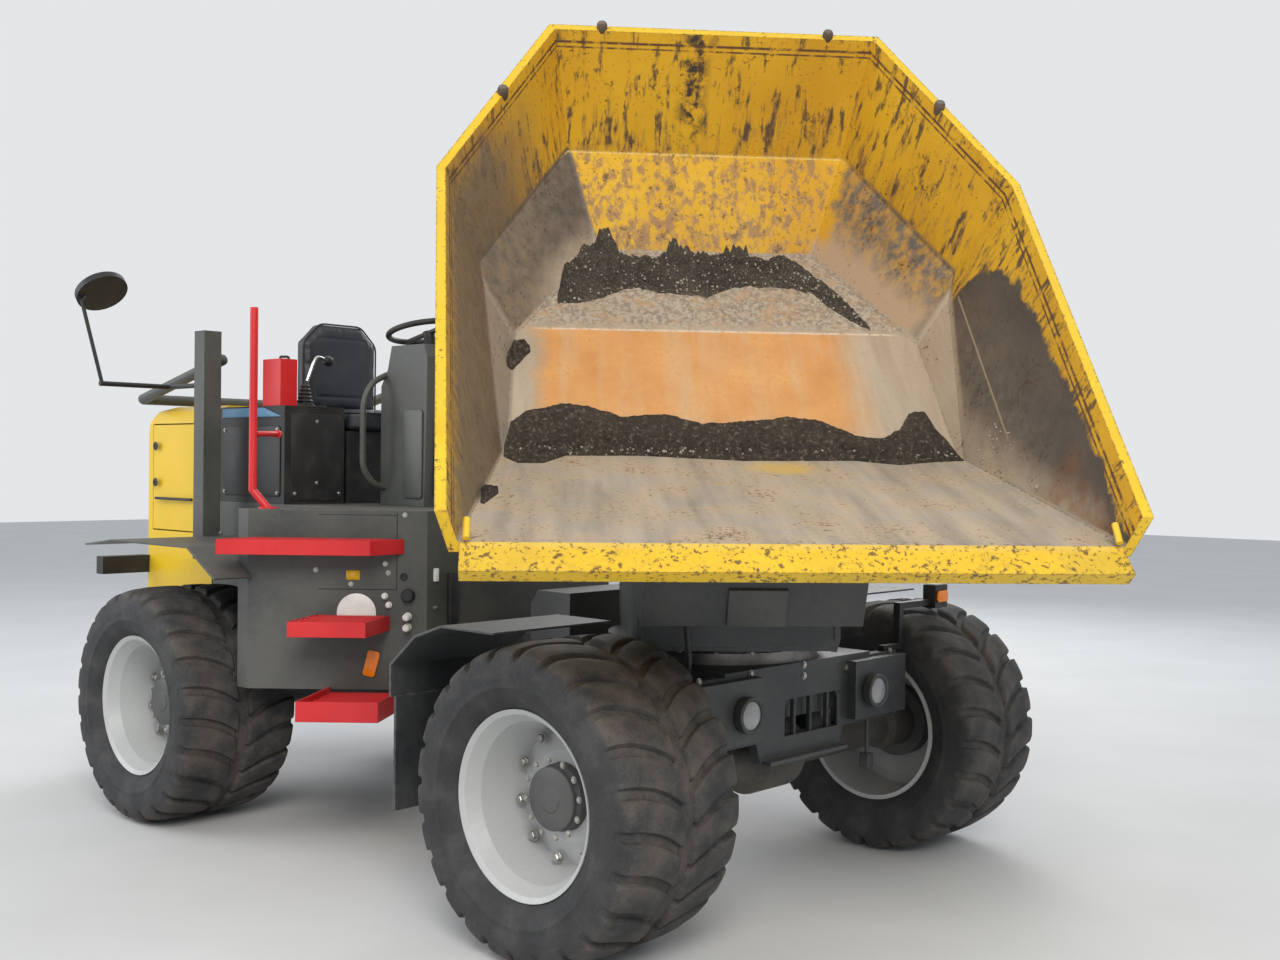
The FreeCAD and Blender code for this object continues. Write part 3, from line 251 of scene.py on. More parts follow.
def painted(name, colour, rough=0.42, dust=0.35, worn=BARE_METAL_AND_EDGE_HIGHLIGHT, wear_and_highlight=0.5, spread=0.18):
    """Machine paint: slow colour drift, fine orange peel, dust on level faces, rubbed corners with a
    painted edge highlight.
    """
    s = Shade(name)
    drift = s.noise(s.coords, 2.3, 5)
    speck = s.noise(s.coords, 46, 6, 0.65, 3.1)
    fine = s.noise(s.coords, 380, 3, 0.5, 7.7)
    dark = tuple(c * (1 - spread) for c in colour)
    light = tuple(min(1.0, c * (1 + spread)) for c in colour)
    base = s.mix(s.ramp(drift, 0.35, 0.65), dark, light)
    level = s.ramp(s.facing_up(), 0.35, 0.95)
    dusty = s.mul(s.ramp(s.plus(drift, speck, 0.6), 0.62, 1.02), dust)
    dusty = s.plus(dusty, level, dust * 0.7, clamp=True)
    base = s.mix(dusty, base, DUST)
    # Corners go pale grey: paint rubbed to bare metal, and a painted edge highlight.
    edge_wear_and_highlight = s.mul(s.ramp(s.edges(0.006), 0.04, 0.3), s.ramp(speck, 0.42, 0.62))
    base = s.mix(s.mul(edge_wear_and_highlight, wear_and_highlight), base, worn)
    s.set(Base_Color=base, Roughness=s.plus(s.plus(rough - 0.08, dusty, 0.4), speck, 0.22))
    return s.bump(s.plus(fine, speck, 1.5), 0.12, 0.0006, ROUNDING).mat


def rubber(name, bare, dust):
    """Tread and sidewall rubber, dusty in the grooves and rubbed on top."""
    s = Shade(name)
    far = s.vec("LENGTH", s.scaled(s.coords, 1, 0, 1))
    aside = s.size(s.axes(s.coords)[1])
    tread = s.mul(s.ramp(far, 0.455, 0.488), s.ramp(aside, 0.274, 0.262))
    cloud = s.noise(s.coords, 9, 6, 0.6)
    grain = s.noise(s.coords, 130, 5, 0.6, 2.2)
    base = s.mix(s.ramp(cloud, 0.3, 0.75), bare, tuple(c * 1.7 for c in bare))
    brown = s.mul(s.ramp(s.plus(cloud, grain, 0.7), 0.72, 1.1), dust)
    groove = s.blend(s.ramp(far, 0.515, 0.497), 0.75, 1.0)
    base = s.mix(s.mul(tread, s.mul(brown, groove)), base, TREAD_MUD)
    sidewall = s.mul(s.sub(1.0, tread), s.ramp(cloud, 0.5, 0.8, 0, 0.18))
    base = s.mix(sidewall, base, SIDEWALL_DUST)
    s.set(Base_Color=base, Roughness=s.ramp(grain, 0.3, 0.7, 0.62, 0.9))
    s.shader.inputs["Specular IOR Level"].default_value = 0.35
    return s.bump(s.plus(grain, s.noise(s.coords, 520, 3, 0.5), 0.4), 0.35, 0.0012).mat


def plastic(name, colour, rough=0.55, dust=0.25):
    """Moulded plastic with fine pits and a little dust."""
    s = Shade(name)
    cloud = s.noise(s.coords, 7, 5)
    pits = s.noise(s.coords, 900, 2, 0.5, 1.7)
    base = s.mix(s.ramp(cloud, 0.3, 0.7), colour, tuple(c * 1.5 + 0.003 for c in colour))
    level = s.ramp(s.facing_up(), 0.4, 1.0, 0, 0.6)
    dusty = s.add(level, s.ramp(cloud, 0.5, 0.75, 0, 0.5))
    base = s.mix(s.math("MULTIPLY", dusty, dust, clamp=True), base, DUST)
    s.set(Base_Color=base, Roughness=s.ramp(cloud, 0.3, 0.7, rough - 0.08, rough + 0.12))
    return s.bump(pits, 0.25, 0.0004, ROUNDING).mat


def metal(name, colour, rough, dirt=0.2):
    """Bare metal with oily dirt in patches."""
    s = Shade(name)
    grain = s.noise(s.coords, 90, 4, 0.6)
    cloud = s.noise(s.coords, 11, 5, 0.6, 4.4)
    base = s.mix(s.mul(s.ramp(cloud, 0.45, 0.7), dirt), colour, OILY_DIRT)
    polish = s.ramp(grain, 0.2, 0.8, rough * 0.7, rough * 1.3)
    s.set(Base_Color=base, Roughness=s.add(polish, s.ramp(cloud, 0.45, 0.7, 0, dirt)))
    s.shader.inputs["Metallic"].default_value = 1.0
    return s.bump(grain, 0.1, 0.0004).mat


# Skip sheets through three corners each, as the skip lies lowered; the right half mirrors the left.
SKIP_CORNERS = {
    "rear_rim": (-1.209, 0.652, 2.191),
    "rear_knee": (-1.126, 0.586, 1.69),
    "floor_rear": (-0.822, 0.46, 1.39),
    "floor_side": (-0.227, 0.805, 1.39),
    "floor_nose": (0.429, 0.821, 1.39),
    "chine": (-0.302, 0.911, 1.545),
    "side_rim": (-0.358, 1.05, 2.055),
    "nose_rim": (1.433, 0.962, 2.096),
    "lip": (1.455, 0.919, 2.0),
}
SHEETS = {
    "floor": ("floor_rear", "floor_nose", "floor_side"),
    "rear_slope": ("floor_rear", "-floor_rear", "rear_knee"),
    "nose": ("floor_nose", "-floor_nose", "lip"),
    "gusset": ("floor_rear", "floor_side", "rear_knee"),
    "side": ("side_rim", "nose_rim", "chine"),
    "side_strip": ("floor_side", "floor_nose", "chine"),
}


def skip_corner(name):
    """A corner by its name; a minus sign before the name takes its mirror image."""
    x, y, z = SKIP_CORNERS[name.lstrip("-")]
    return Vector((x, -y if name[0] == "-" else y, z))


def sheet_plane(names):
    """A point of the sheet and its upward normal."""
    one, two, three = [skip_corner(n) for n in names]
    normal = (two - one).cross(three - one).normalized()
    return one, normal if normal.z > 0 else -normal


PLANES = {name: sheet_plane(names) for name, names in SHEETS.items()}


def sheet_height(x, y):
    """Height of the skip's inner face over a place."""
    y = abs(y)
    return max(one.z - (n.x * (x - one.x) + n.y * (y - one.y)) / n.z for one, n in PLANES.values())


# Skip colours, the darker and the lighter of each, and the edge lines of its stains in x and z.
GOLDEN = ((0.56, 0.285, 0.007), (0.7, 0.4, 0.012))
OUTER_YELLOW = ((0.7, 0.43, 0.012), (0.8, 0.52, 0.02))
BROWN = ((0.17, 0.088, 0.042), (0.31, 0.175, 0.085))
BEIGE = ((0.33, 0.25, 0.165), (0.47, 0.385, 0.285))
ASHEN = ((0.088, 0.072, 0.058), (0.165, 0.135, 0.105))
TAN = ((0.42, 0.235, 0.075), (0.52, 0.305, 0.12))
PRIMER = ((0.56, 0.235, 0.06), (0.7, 0.34, 0.105))
GRAVEL = ((0.23, 0.18, 0.13), (0.45, 0.38, 0.29))
SCOURED = ((0.27, 0.225, 0.175), (0.47, 0.405, 0.325))
SOOT = (0.04, 0.029, 0.021)
STAIN_TOP = [(-0.3, 1.5), (-0.27, 1.66), (-0.2, 1.76), (-0.08, 1.862), (0.13, 1.937)]
STAIN_TOP += [(0.475, 1.974), (0.832, 2.011), (1.1, 2.014), (1.4, 2.03)]
PALE_TOP = [(-0.3, 1.44), (-0.06, 1.42), (0.25, 1.5), (0.435, 1.549), (0.7, 1.66), (0.95, 1.784)]
PALE_TOP += [(1.25, 1.93)]
WELD_LINE = [(-0.263, 1.61), (0.627, 1.66)]
RIM_LINE = [SKIP_CORNERS[name][::2] for name in ("rear_rim", "side_rim", "nose_rim")]
FOLD_LINE = [SKIP_CORNERS[name][:2] for name in ("rear_knee", "floor_rear")]
KNEE_Z = SKIP_CORNERS["rear_knee"][2]
FLOOR_SEAM_X = -0.292


def skip_paint():
    """Skip paint by place in the skip's own axes: rubbed walls, stained sides, scoured floor and nose."""
    s = Shade("skip_worn")
    turned = {"Vector": s.coords, "Location": SKIP @ PIN, "Rotation": (0, TIP, SWING)}
    place = s.put("ShaderNodeMapping", turned, vector_type="TEXTURE").outputs[0]
    place = s.vec("ADD", place, tuple(PIN))
    x, y, z = s.axes(place)[0:3]
    width = s.size(y)
    folded = s.put("ShaderNodeCombineXYZ", {0: x, 1: width, 2: z}).outputs[0]
    to_middle = s.vec("SUBTRACT", tuple(SKIP @ Vector((0.1, 0, 1.95))), s.coords)
    inside = s.ramp(s.vec("DOT_PRODUCT", s.normal(), to_middle), 0.0, 0.05)
    broad = s.noise(place, 1.6, 6, 0.55)
    blot = s.noise(place, 5.5, 8, 0.62, 5.2)
    patch = s.noise(place, 17, 8, 0.65, 9.4)
    grit = s.noise(place, 60, 8, 0.7, 2.9)
    fine = s.noise(place, 240, 4, 0.6, 8.1)
    fall = s.noise(s.scaled(place, 26.0, 26.0, 3.0), 1.0, 9, 0.68, 1.3)
    drag = s.noise(s.scaled(place, 1.0, 9.0, 1.0), 1.0, 8, 0.7, 6.3)
    ragged = s.math("MULTIPLY_ADD", blot, 0.16, s.math("MULTIPLY_ADD", patch, 0.09, -0.125))
    ragged_z = s.add(z, ragged)
    scratched = s.sub(fall, 0.5)

    def sheet(name):
        one, normal = PLANES[name]
        far = s.vec("DOT_PRODUCT", s.vec("SUBTRACT", folded, tuple(one)), tuple(normal))
        return s.ramp(s.size(far), 0.014, 0.006)

    on_floor = sheet("floor")
    golden = s.mix(s.ramp(broad, 0.35, 0.65), *GOLDEN)
    outer = s.mix(s.ramp(blot, 0.3, 0.7), *OUTER_YELLOW)
    brown = s.mix(s.ramp(patch, 0.35, 0.65), *BROWN)
    beige = s.mix(s.ramp(drag, 0.3, 0.7), *BEIGE)
    ashen = s.mix(s.ramp(patch, 0.35, 0.65), *ASHEN)

    # Upper walls: scratches that run down, thicker towards the floor, with broken dark marks.
    rubbed = s.plus(s.mul(s.ramp(z, 2.2, 1.42), 0.5), scratched, 2.3)
    wall = s.mix(s.ramp(rubbed, 0.22, 0.62, 0, 0.85), golden, brown)
    mark = s.plus(s.mul(fall, 0.75), patch, 0.45)
    wall = s.mix(s.ramp(mark, 0.635, 0.7, 0, 0.8), wall, SOOT)
    mark = s.mul(s.near(y, -0.075, 0.075, 0.02), s.ramp(x, -1.05, -1.09), s.ramp(z, 1.72, 1.8))
    wall = s.mix(s.mul(mark, s.ramp(patch, 0.44, 0.56)), wall, SOOT)

    # Slope below the knee, the gussets beside it, and the knee's pale edge.
    tan = s.mix(s.ramp(drag, 0.35, 0.65), *TAN)
    slope = s.mix(s.ramp(s.plus(rubbed, patch, 0.5), 0.55, 1.05), golden, tan)
    slope = s.mix(s.ramp(s.plus(fall, patch, 0.35), 0.66, 0.76, 0, 0.6), slope, brown)
    slope = s.mix(s.ramp(s.plus(patch, fine, 0.3), 0.74, 0.8, 0, 0.6), slope, SOOT)
    colour = s.mix(sheet("rear_slope"), wall, slope)
    ridge = s.ramp(s.add(s.size(s.sub(width, s.line(x, FOLD_LINE))), ragged), 0.07, 0.02)
    dull = s.mix(s.ramp(fall, 0.42, 0.6), ashen, s.mix(0.45, brown, golden))
    dull = s.mix(s.ramp(ragged_z, 1.56, 1.44), dull, (0.42, 0.285, 0.175))
    dull = s.mix(s.mul(ridge, s.ramp(z, 1.42, 1.47)), dull, golden)
    darker = s.mix(s.ramp(ragged_z, 1.5, 1.42), ashen, beige)
    colour = s.mix(sheet("gusset"), colour, s.mix(s.ramp(y, -0.05, 0.05), darker, dull))
    knee = s.mul(s.near(z, KNEE_Z, 0.006, 0.002), s.ramp(x, -1.05, -1.1), s.ramp(grit, 0.4, 0.5))
    colour = s.mix(s.mul(knee, 0.7), colour, (0.85, 0.62, 0.2))

    # Right flank: grey-brown almost to the rim.
    top = s.add(s.plus(z, scratched, 0.45), ragged)
    flank = s.mul(s.ramp(y, -0.6, -0.75), s.ramp(top, 2.13, 1.93), s.ramp(x, -1.05, -0.6))
    grimy = s.mix(s.ramp(fall, 0.4, 0.62, 0, 0.55), ashen, (0.26, 0.175, 0.085))
    colour = s.mix(s.mul(flank, 0.93), colour, grimy)

    # Left flank: a dark stain with a crisp upper edge, paler below a slanting line, and a weld.
    below_top = s.sub(s.line(x, STAIN_TOP), s.plus(z, ragged, 0.9))
    below_pale = s.sub(s.line(x, PALE_TOP), ragged_z)
    stained = s.mul(s.ramp(y, 0.7, 0.78), s.ramp(below_top, -0.006, 0.014), s.ramp(x, -0.33, -0.27))
    dark = s.mix(s.ramp(below_top, 0.02, 0.3), (0.062, 0.05, 0.041), ashen)
    dark = s.mix(s.ramp(drag, 0.42, 0.62, 0, 0.5), dark, (0.17, 0.13, 0.09))
    dark = s.mix(s.ramp(below_pale, -0.06, 0.08), dark, beige)
    rusty = s.mul(s.ramp(x, 0.92, 1.1), s.ramp(s.add(below_top, ragged), 0.02, 0.1))
    rusty = s.mul(rusty, s.ramp(blot, 0.38, 0.55))
    dark = s.mix(s.mul(rusty, 0.7), dark, (0.23, 0.085, 0.028))
    colour = s.mix(stained, colour, dark)
    weld = s.mul(s.near(z, s.line(x, WELD_LINE), 0.007, 0.002), s.ramp(x, -0.27, -0.25))
    weld = s.mul(weld, s.ramp(x, 0.64, 0.6), s.ramp(y, 0.85, 0.9))
    colour = s.mix(s.mul(weld, 0.6), colour, (0.5, 0.4, 0.25))

    # Floor: scoured pale steel, orange primer in the middle, a gravelly strip behind it.
    orange = s.mix(s.ramp(blot, 0.3, 0.7), *PRIMER)
    orange = s.mix(s.ramp(drag, 0.5, 0.66, 0, 0.45), orange, (0.55, 0.4, 0.24))
    edge_x = s.plus(x, ragged, 0.35)
    edge_y = s.plus(y, ragged, 0.8)
    primer = s.mul(s.ramp(edge_x, -0.3, -0.284), s.ramp(edge_y, -0.74, -0.66))
    primer = s.mul(primer, s.ramp(edge_y, 0.6, 0.42), s.ramp(x, 0.4, 0.2, 0.55, 1.0))
    gravel = s.mix(s.ramp(grit, 0.42, 0.58), *GRAVEL)
    gravel = s.mix(s.ramp(patch, 0.5, 0.62, 0, 0.6), gravel, (0.44, 0.27, 0.14))
    floor = s.mix(s.ramp(edge_x, -0.35, -0.29), gravel, beige)
    floor = s.mix(s.mul(primer, 0.92), floor, orange)
    colour = s.mix(on_floor, colour, floor)
    strip = s.mix(s.ramp(y, -0.1, 0.1), s.mix(0.55, ashen, beige), beige)
    colour = s.mix(sheet("side_strip"), colour, strip)
    seam = s.mul(s.near(x, FLOOR_SEAM_X, 0.008, 0.003), on_floor)
    seam = s.mul(seam, s.ramp(width, 0.74, 0.68), s.ramp(grit, 0.38, 0.5))
    colour = s.mix(seam, colour, (0.66, 0.52, 0.38))

    # Nose: smooth and pale, with drawn streaks and one yellow remnant.
    slide = s.noise(s.scaled(place, 1.4, 11.0, 1.4), 1.0, 5, 0.55, 3.3)
    nose = s.mix(s.ramp(slide, 0.3, 0.72), *SCOURED)
    nose = s.mix(s.ramp(s.plus(blot, slide, 0.4), 0.6, 0.8, 0, 0.5), nose, (0.49, 0.345, 0.19))
    remnant = s.vec("LENGTH", s.scaled(s.vec("SUBTRACT", place, (0.62, 0.14, 1.5)), 1.6, 1.0, 0.0))
    remnant = s.ramp(s.plus(remnant, ragged, 1.6), 0.17, 0.05, 0, 0.75)
    nose = s.mix(remnant, nose, (0.63, 0.4, 0.075))
    colour = s.mix(s.mul(sheet("nose"), s.ramp(x, 0.425, 0.432)), colour, nose)

    # Double line under the rim, chips, and rust where corners are knocked.
    under_rim = s.sub(s.line(x, RIM_LINE), z)
    double = s.most(s.near(under_rim, 0.046, 0.007, 0.003), s.near(under_rim, 0.066, 0.005, 0.002))
    double = s.mul(double, s.ramp(patch, 0.36, 0.5), s.ramp(width, 0.0, 0.01))
    colour = s.mix(double, colour, (0.1, 0.045, 0.018))
    colour = s.mix(inside, outer, colour)
    chip = s.mul(s.ramp(s.plus(grit, blot, 0.5), 0.86, 0.92), s.sub(1.0, s.mul(on_floor, 0.8)))
    lip = s.mul(s.ramp(x, 1.42, 1.45), s.ramp(s.plus(grit, patch, 0.4), 0.75, 0.8))
    rim = s.mul(s.ramp(s.edges(0.012), 0.02, 0.2), s.ramp(grit, 0.44, 0.56))
    worn = s.most(s.most(chip, lip), rim)
    colour = s.mix(s.mul(worn, 0.85), colour, (0.075, 0.035, 0.018))
    glossy = s.ramp(grit, 0.3, 0.7, 0.35, 0.55)
    matt = s.ramp(grit, 0.3, 0.7, 0.55, 0.9)
    s.set(Base_Color=colour, Roughness=s.blend(inside, glossy, matt))
    return s.bump(s.plus(s.mul(grit, 0.6), fall, 0.8), 0.35, 0.0025, ROUNDING).mat


GREY = painted("grey_machine_paint", (0.052, 0.058, 0.056), 0.44, 0.22)
HUB = painted("hub_paint", (0.06, 0.064, 0.064), 0.4, 0.2)
# The front frame, fenders and turntable have the deck's grey paint; this darker copy of it is painted
# shade from the skip over them.
FRAME_PAINTED_SHADE = painted("front_frame_grey_in_painted_shade", (0.031, 0.038, 0.043), 0.42, 0.2)
AXLE = painted("axle_paint", (0.04, 0.04, 0.038), 0.6, 0.5)
CONSOLE = painted("console_paint", (0.066, 0.074, 0.068), 0.4, 0.15, wear_and_highlight=0.2)
YELLOW = painted("yellow_panel_paint", (0.78, 0.5, 0.008), 0.3, 0.1, wear_and_highlight=0.3, spread=0.06)
RED = painted("red_step_paint", (0.62, 0.008, 0.014), 0.34, 0.1, (0.3, 0.05, 0.04), 0.5, 0.12)
SILVER = painted("silver_rim_paint", (0.48, 0.49, 0.485), 0.36, 0.18, wear_and_highlight=0.2, spread=0.07)
RUBBER = rubber("tyre_rubber_dusty", (0.028, 0.028, 0.029), 0.6)
BLACK = plastic("black_moulding", (0.01, 0.01, 0.011))
VINYL = plastic("seat_vinyl", (0.012, 0.015, 0.021), 0.48, 0.12)
STEEL = metal("bearing_steel_worn", (0.22, 0.21, 0.2), 0.42)
CHROME = metal("rod_chrome_bright", (0.72, 0.73, 0.75), 0.12, dirt=0.05)
IRON = painted("engine_casting", (0.03, 0.03, 0.03), 0.7, 0.4)
TAG = painted("number_plate_sheet", (0.66, 0.42, 0.01), 0.35, 0.08, wear_and_highlight=0.1, spread=0.05)
SKIP_PAINT = skip_paint()
BY_SLOT = {
    "tyre_rubber": RUBBER,
    "rim_silver": SILVER,
    "hub_grey": HUB,
    "grey_paint": GREY,
    "axle_paint": AXLE,
    "console_grey": CONSOLE,
    "yellow_paint": YELLOW,
    "skip_yellow": SKIP_PAINT,
    "red_paint": RED,
    "black_plastic": BLACK,
    "seat_vinyl": VINYL,
    "bearing_steel": STEEL,
    "rod_chrome": CHROME,
    "engine_iron": IRON,
    "plate_yellow": TAG,
}
# Pieces that take the darker copy of the grey paint, as painted shade under the skip.
NODES_IN_PAINTED_SHADE = ("front_chassis", "front_fenders", "turntable")
SLOT_OF = {row["node"]: row["material_slot"] for row in frame["record"]["subparts"]}
BODIES = frame["record"]["behaviour"]["bodies"]
BODY_OF = {node: body for body, nodes in BODIES.items() for node in nodes}
REAR = BODY_OF["deck"]
FRONT = BODY_OF["front_chassis"]
for name, obj in frame["nodes"].items():
    obj.data.materials.clear()
    obj.data.materials.append(FRAME_PAINTED_SHADE if name in NODES_IN_PAINTED_SHADE else BY_SLOT[SLOT_OF[name]])


# Mesh helpers.
def piece(name, points, faces, material, slot, body, matrix):
    """A smooth piece from points and faces, on a body."""
    mesh = bpy.data.meshes.new(name)
    mesh.from_pydata([tuple(p) for p in points], [], faces)
    mesh.materials.append(material)
    mesh.polygons.foreach_set("use_smooth", [True] * len(mesh.polygons))
    mesh.update()
    obj = bpy.data.objects.new(name, mesh)
    scene.collection.objects.link(obj)
    obj.matrix_world = matrix
    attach(obj, body)
    return obj


def soften(work, soft, segments=2, profile=0.5):
    """Round all edges of a mesh in work."""
    if soft:
        settings = {"segments": segments, "profile": profile, "affect": "EDGES"}
        bmesh.ops.bevel(work, geom=work.edges[:], offset=soft, **settings)


def prism(outline, axis, end):
    """A prism from an outline to a place along an axis."""
    work = bmesh.new()
    face = work.faces.new([work.verts.new(p) for p in outline])
    for v in bmesh.ops.extrude_face_region(work, geom=[face])["geom"]:
        if isinstance(v, bmesh.types.BMVert):
            v.co[axis] = end
    bmesh.ops.recalc_face_normals(work, faces=work.faces)
    return work


def facing(place, way):
    """A matrix whose own z points along a direction."""
    return Matrix.Translation(Vector(place)) @ Vector(way).to_track_quat("Z", "Y").to_matrix().to_4x4()


def across(place, run, out):
    """A matrix with x along a face, z out of it and y up the face."""
    run = Vector(run).normalized()
    out = Vector(out).normalized()
    rise = out.cross(run)
    return Matrix.Translation(Vector(place)) @ Matrix((run, rise, out)).transposed().to_4x4()


def on_front(x, y, z):
    return across((x, y, z), LEFT, FORWARD)


def on_right(x, y, z):
    return across((x, y, z), FORWARD, RIGHT)


def round_outline(half_x, half_y, radius, steps=5):
    """A rectangle with rounded corners."""
    corners = [(half_x - radius, half_y - radius, 0), (radius - half_x, half_y - radius, 90)]
    corners += [(radius - half_x, radius - half_y, 180), (half_x - radius, radius - half_y, 270)]
    outline = []
    for x, y, start in corners:
        for k in range(steps + 1):
            angle = math.radians(start + 90 * k / steps)
            outline.append((x + radius * math.cos(angle), y + radius * math.sin(angle)))
    return outline


def circle(middle, axis, radius, count, start):
    """Places on a circle about an axis, from a start angle in degrees."""
    run, rise = [k for k in range(3) if k != axis]
    places = []
    for k in range(count):
        angle = math.radians(start + 360 * k / count)
        place = list(middle)
        place[run] += radius * math.cos(angle)
        place[rise] += radius * math.sin(angle)
        places.append(place)
    return places


def mirrored(points, side):
    return [(x, y * side, z) for x, y, z in points]


class Heap:
    """Points and faces of many small shapes that become one piece."""

    def __init__(self):
        self.points = []
        self.faces = []

    def add(self, points, faces, matrix=None):
        start = len(self.points)
        matrix = matrix or Matrix()
        self.points += [matrix @ Vector(p) for p in points]
        self.faces += [[start + i for i in face] for face in faces]
        return self

    def mesh(self, work, matrix=None):
        work.verts.index_update()
        points = [v.co.copy() for v in work.verts]
        self.add(points, [[v.index for v in face.verts] for face in work.faces], matrix)
        work.free()
        return self

    def box(self, low, high, soft=0.003, matrix=None):
        """A block between two corners with softened edges."""
        work = bmesh.new()
        bmesh.ops.create_cube(work, size=1.0)
        middle = (Vector(low) + Vector(high)) / 2
        reach = Vector(high) - Vector(low)
        for v in work.verts:
            v.co = v.co * reach + middle
        soften(work, soft)
        return self.mesh(work, matrix)

    def slab(self, outline, low, high, soft, matrix):
        """A prism on an outline in its own level plane, with softened edges."""
        work = prism([(x, y, low) for x, y in outline], 2, high)
        soften(work, soft)
        return self.mesh(work, matrix)

    def plate(self, half_x, half_y, radius, tall, soft, matrix):
        """A plate with rounded corners that lies on a face."""
        return self.slab(round_outline(half_x, half_y, radius), 0, tall, soft, matrix)

    def lathe(self, profile, matrix, steps=28):
        """A turned shape; the profile is radius and height along its own z."""
        points, faces, rings = [], [], []
        for radius, height in profile:
            ring = []
            for k in range(steps if radius > 1e-6 else 1):
                angle = 2 * math.pi * k / steps
                ring.append(len(points))
                points.append((radius * math.cos(angle), radius * math.sin(angle), height))
            rings.append(ring)
        for lower, upper in zip(rings, rings[1:]):
            for k in range(steps):
                a, b = lower[k % len(lower)], lower[(k + 1) % len(lower)]
                c, d = upper[(k + 1) % len(upper)], upper[k % len(upper)]
                face = list(dict.fromkeys([a, b, c, d]))
                if len(face) > 2:
                    faces.append(face)
        return self.add(points, faces, matrix)

    def tube(self, path, radius, steps=14, bend=0.03):
        """A round bar along a path whose corners are rounded."""
        path = [Vector(p) for p in path]
        line = [path[0]]
        for before, corner, after in zip(path, path[1:], path[2:]):
            enter = corner + (before - corner).normalized() * min(bend, (before - corner).length * 0.45)
            leave = corner + (after - corner).normalized() * min(bend, (after - corner).length * 0.45)
            for k in range(7):
                t = k / 6
                line.append(enter * (1 - t) ** 2 + corner * 2 * t * (1 - t) + leave * t**2)
        line.append(path[-1])
        aside = (line[1] - line[0]).orthogonal().normalized()
        last = len(line) - 1
        points, faces = [], []
        for i, p in enumerate(line):
            ahead = (line[min(i + 1, last)] - line[max(i - 1, 0)]).normalized()
            aside = (aside - ahead * aside.dot(ahead)).normalized()
            other = ahead.cross(aside)
            for k in range(steps):
                angle = 2 * math.pi * k / steps
                points.append(p + (aside * math.cos(angle) + other * math.sin(angle)) * radius)
        for i in range(last):
            for k in range(steps):
                a, b = i * steps + k, i * steps + (k + 1) % steps
                faces.append([a, b, b + steps, a + steps])
        faces.append(list(range(steps))[::-1])
        faces.append([last * steps + k for k in range(steps)])
        return self.add(points, faces)

    def bolts(self, places, way, radius, tall=0.006):
        """Hexagon heads on washers."""
        for place in places:
            base = facing(place, way)
            self.lathe([(radius * 1.35, 0), (radius * 1.35, tall * 0.3), (radius, tall * 0.3)], base, 14)
            head = [(radius, tall * 0.25), (radius, tall * 0.85), (radius * 0.82, tall), (0, tall)]
            self.lathe(head, base, 6)
        return self

    def make(self, name, material, slot, body=REAR, matrix=MACHINE, sharp=35):
        obj = piece(name, self.points, self.faces, material, slot, body, matrix)
        obj.data.set_sharp_from_angle(angle=math.radians(sharp))


# Tyres: curved lugs in two offset rows on a rounded carcass.
LUGS = 24
LUG_DEEP = 0.021
LUG_END = 0.262
SHOULDER_DROP = 0.003
COLUMN_SHARES = (0.0, 0.16, 0.2, 0.23, 0.36, 0.5, 0.64, 0.77, 0.9, 0.96)
GROOVE_COLUMNS = (0, 1, 9)
SHOULDER_COLUMNS = (2, 8)
TYRE_ROWS = [
    # place across, radius on the lug, lug depth there
    (0.0, 0.496, 0.0), (0.018, 0.496, 0.0), (0.024, 0.497, 0.0), (0.028, 0.513, 1.0),
    (0.033, 0.517, 1.0), (0.06, 0.517, 1.0), (0.09, 0.5168, 1.0), (0.12, 0.516, 1.0),
    (0.15, 0.515, 1.0), (0.18, 0.513, 1.0), (0.205, 0.51, 1.0), (0.228, 0.5055, 1.0),
    (0.247, 0.499, 1.0), (0.26, 0.49, 1.0), (0.268, 0.478, 0.9), (0.271, 0.464, 0.55),
    (0.272, 0.456, 0.25), (0.2725, 0.452, 0.0), (0.274, 0.436, 0.0), (0.275, 0.42, 0.0),
    (0.2745, 0.402, 0.0), (0.272, 0.385, 0.0), (0.2738, 0.381, 0.0), (0.2728, 0.376, 0.0),
    (0.2695, 0.372, 0.0), (0.263, 0.352, 0.0), (0.253, 0.334, 0.0), (0.243, 0.322, 0.0),
    (0.236, 0.315, 0.0), (0.23, 0.309, 0.0), (0.222, 0.3, 0.0),
]


def lug_drift(aside):
    """How far round the tread the lug has moved at a place across, as an angle."""
    share = 1 - min(aside, LUG_END) / LUG_END
    return math.radians(1.5 * share + 10.5 * share**2.3)


def tread_turn(aside, lug, column):
    """Place of a column round the tread, in lugs: even at the middle, gathered on the lugs beside it."""
    align = min(1.0, max(0.0, (aside - 0.004) / 0.018))
    share = COLUMN_SHARES[column]
    if 0.22 < share < 0.5:
        share = 1 - (1 - share) * (0.75 + 0.25 * min(1.0, aside / 0.15))
    return lug + column / len(COLUMN_SHARES) * (1 - align) + share * align


def tyre_mesh():
    """Points and quads of both halves, about the wheel's middle."""
    points, faces = [], []
    pitch = 2 * math.pi / LUGS
    count = LUGS * len(COLUMN_SHARES)
    rows = len(TYRE_ROWS)
    for side in (-1, 1):
        for aside, radius, depth in TYRE_ROWS:
            for k in range(count):
                lug, column = divmod(k, len(COLUMN_SHARES))
                where = tread_turn(aside, lug, column) + (0.5 if side > 0 else 0.0)
                angle = where * pitch + lug_drift(aside)
                out = radius
                if depth and column in GROOVE_COLUMNS:
                    out -= LUG_DEEP * depth
                elif depth and column in SHOULDER_COLUMNS:
                    out -= SHOULDER_DROP
                spin = Vector((math.cos(angle) * 9, aside * side * 30, math.sin(angle) * 9))
                out += 0.0014 * noise.noise(spin) * (1 if depth else 0.4)
                points.append((math.sin(angle) * out, aside * side, math.cos(angle) * out))
    for side in range(2):
        for row in range(rows - 1):
            for k in range(count):
                a = (side * rows + row) * count + k
                b = (side * rows + row) * count + (k + 1) % count
                quad = [a, b, b + count, a + count]
                faces.append(quad if side == 1 else quad[::-1])
    return points, faces


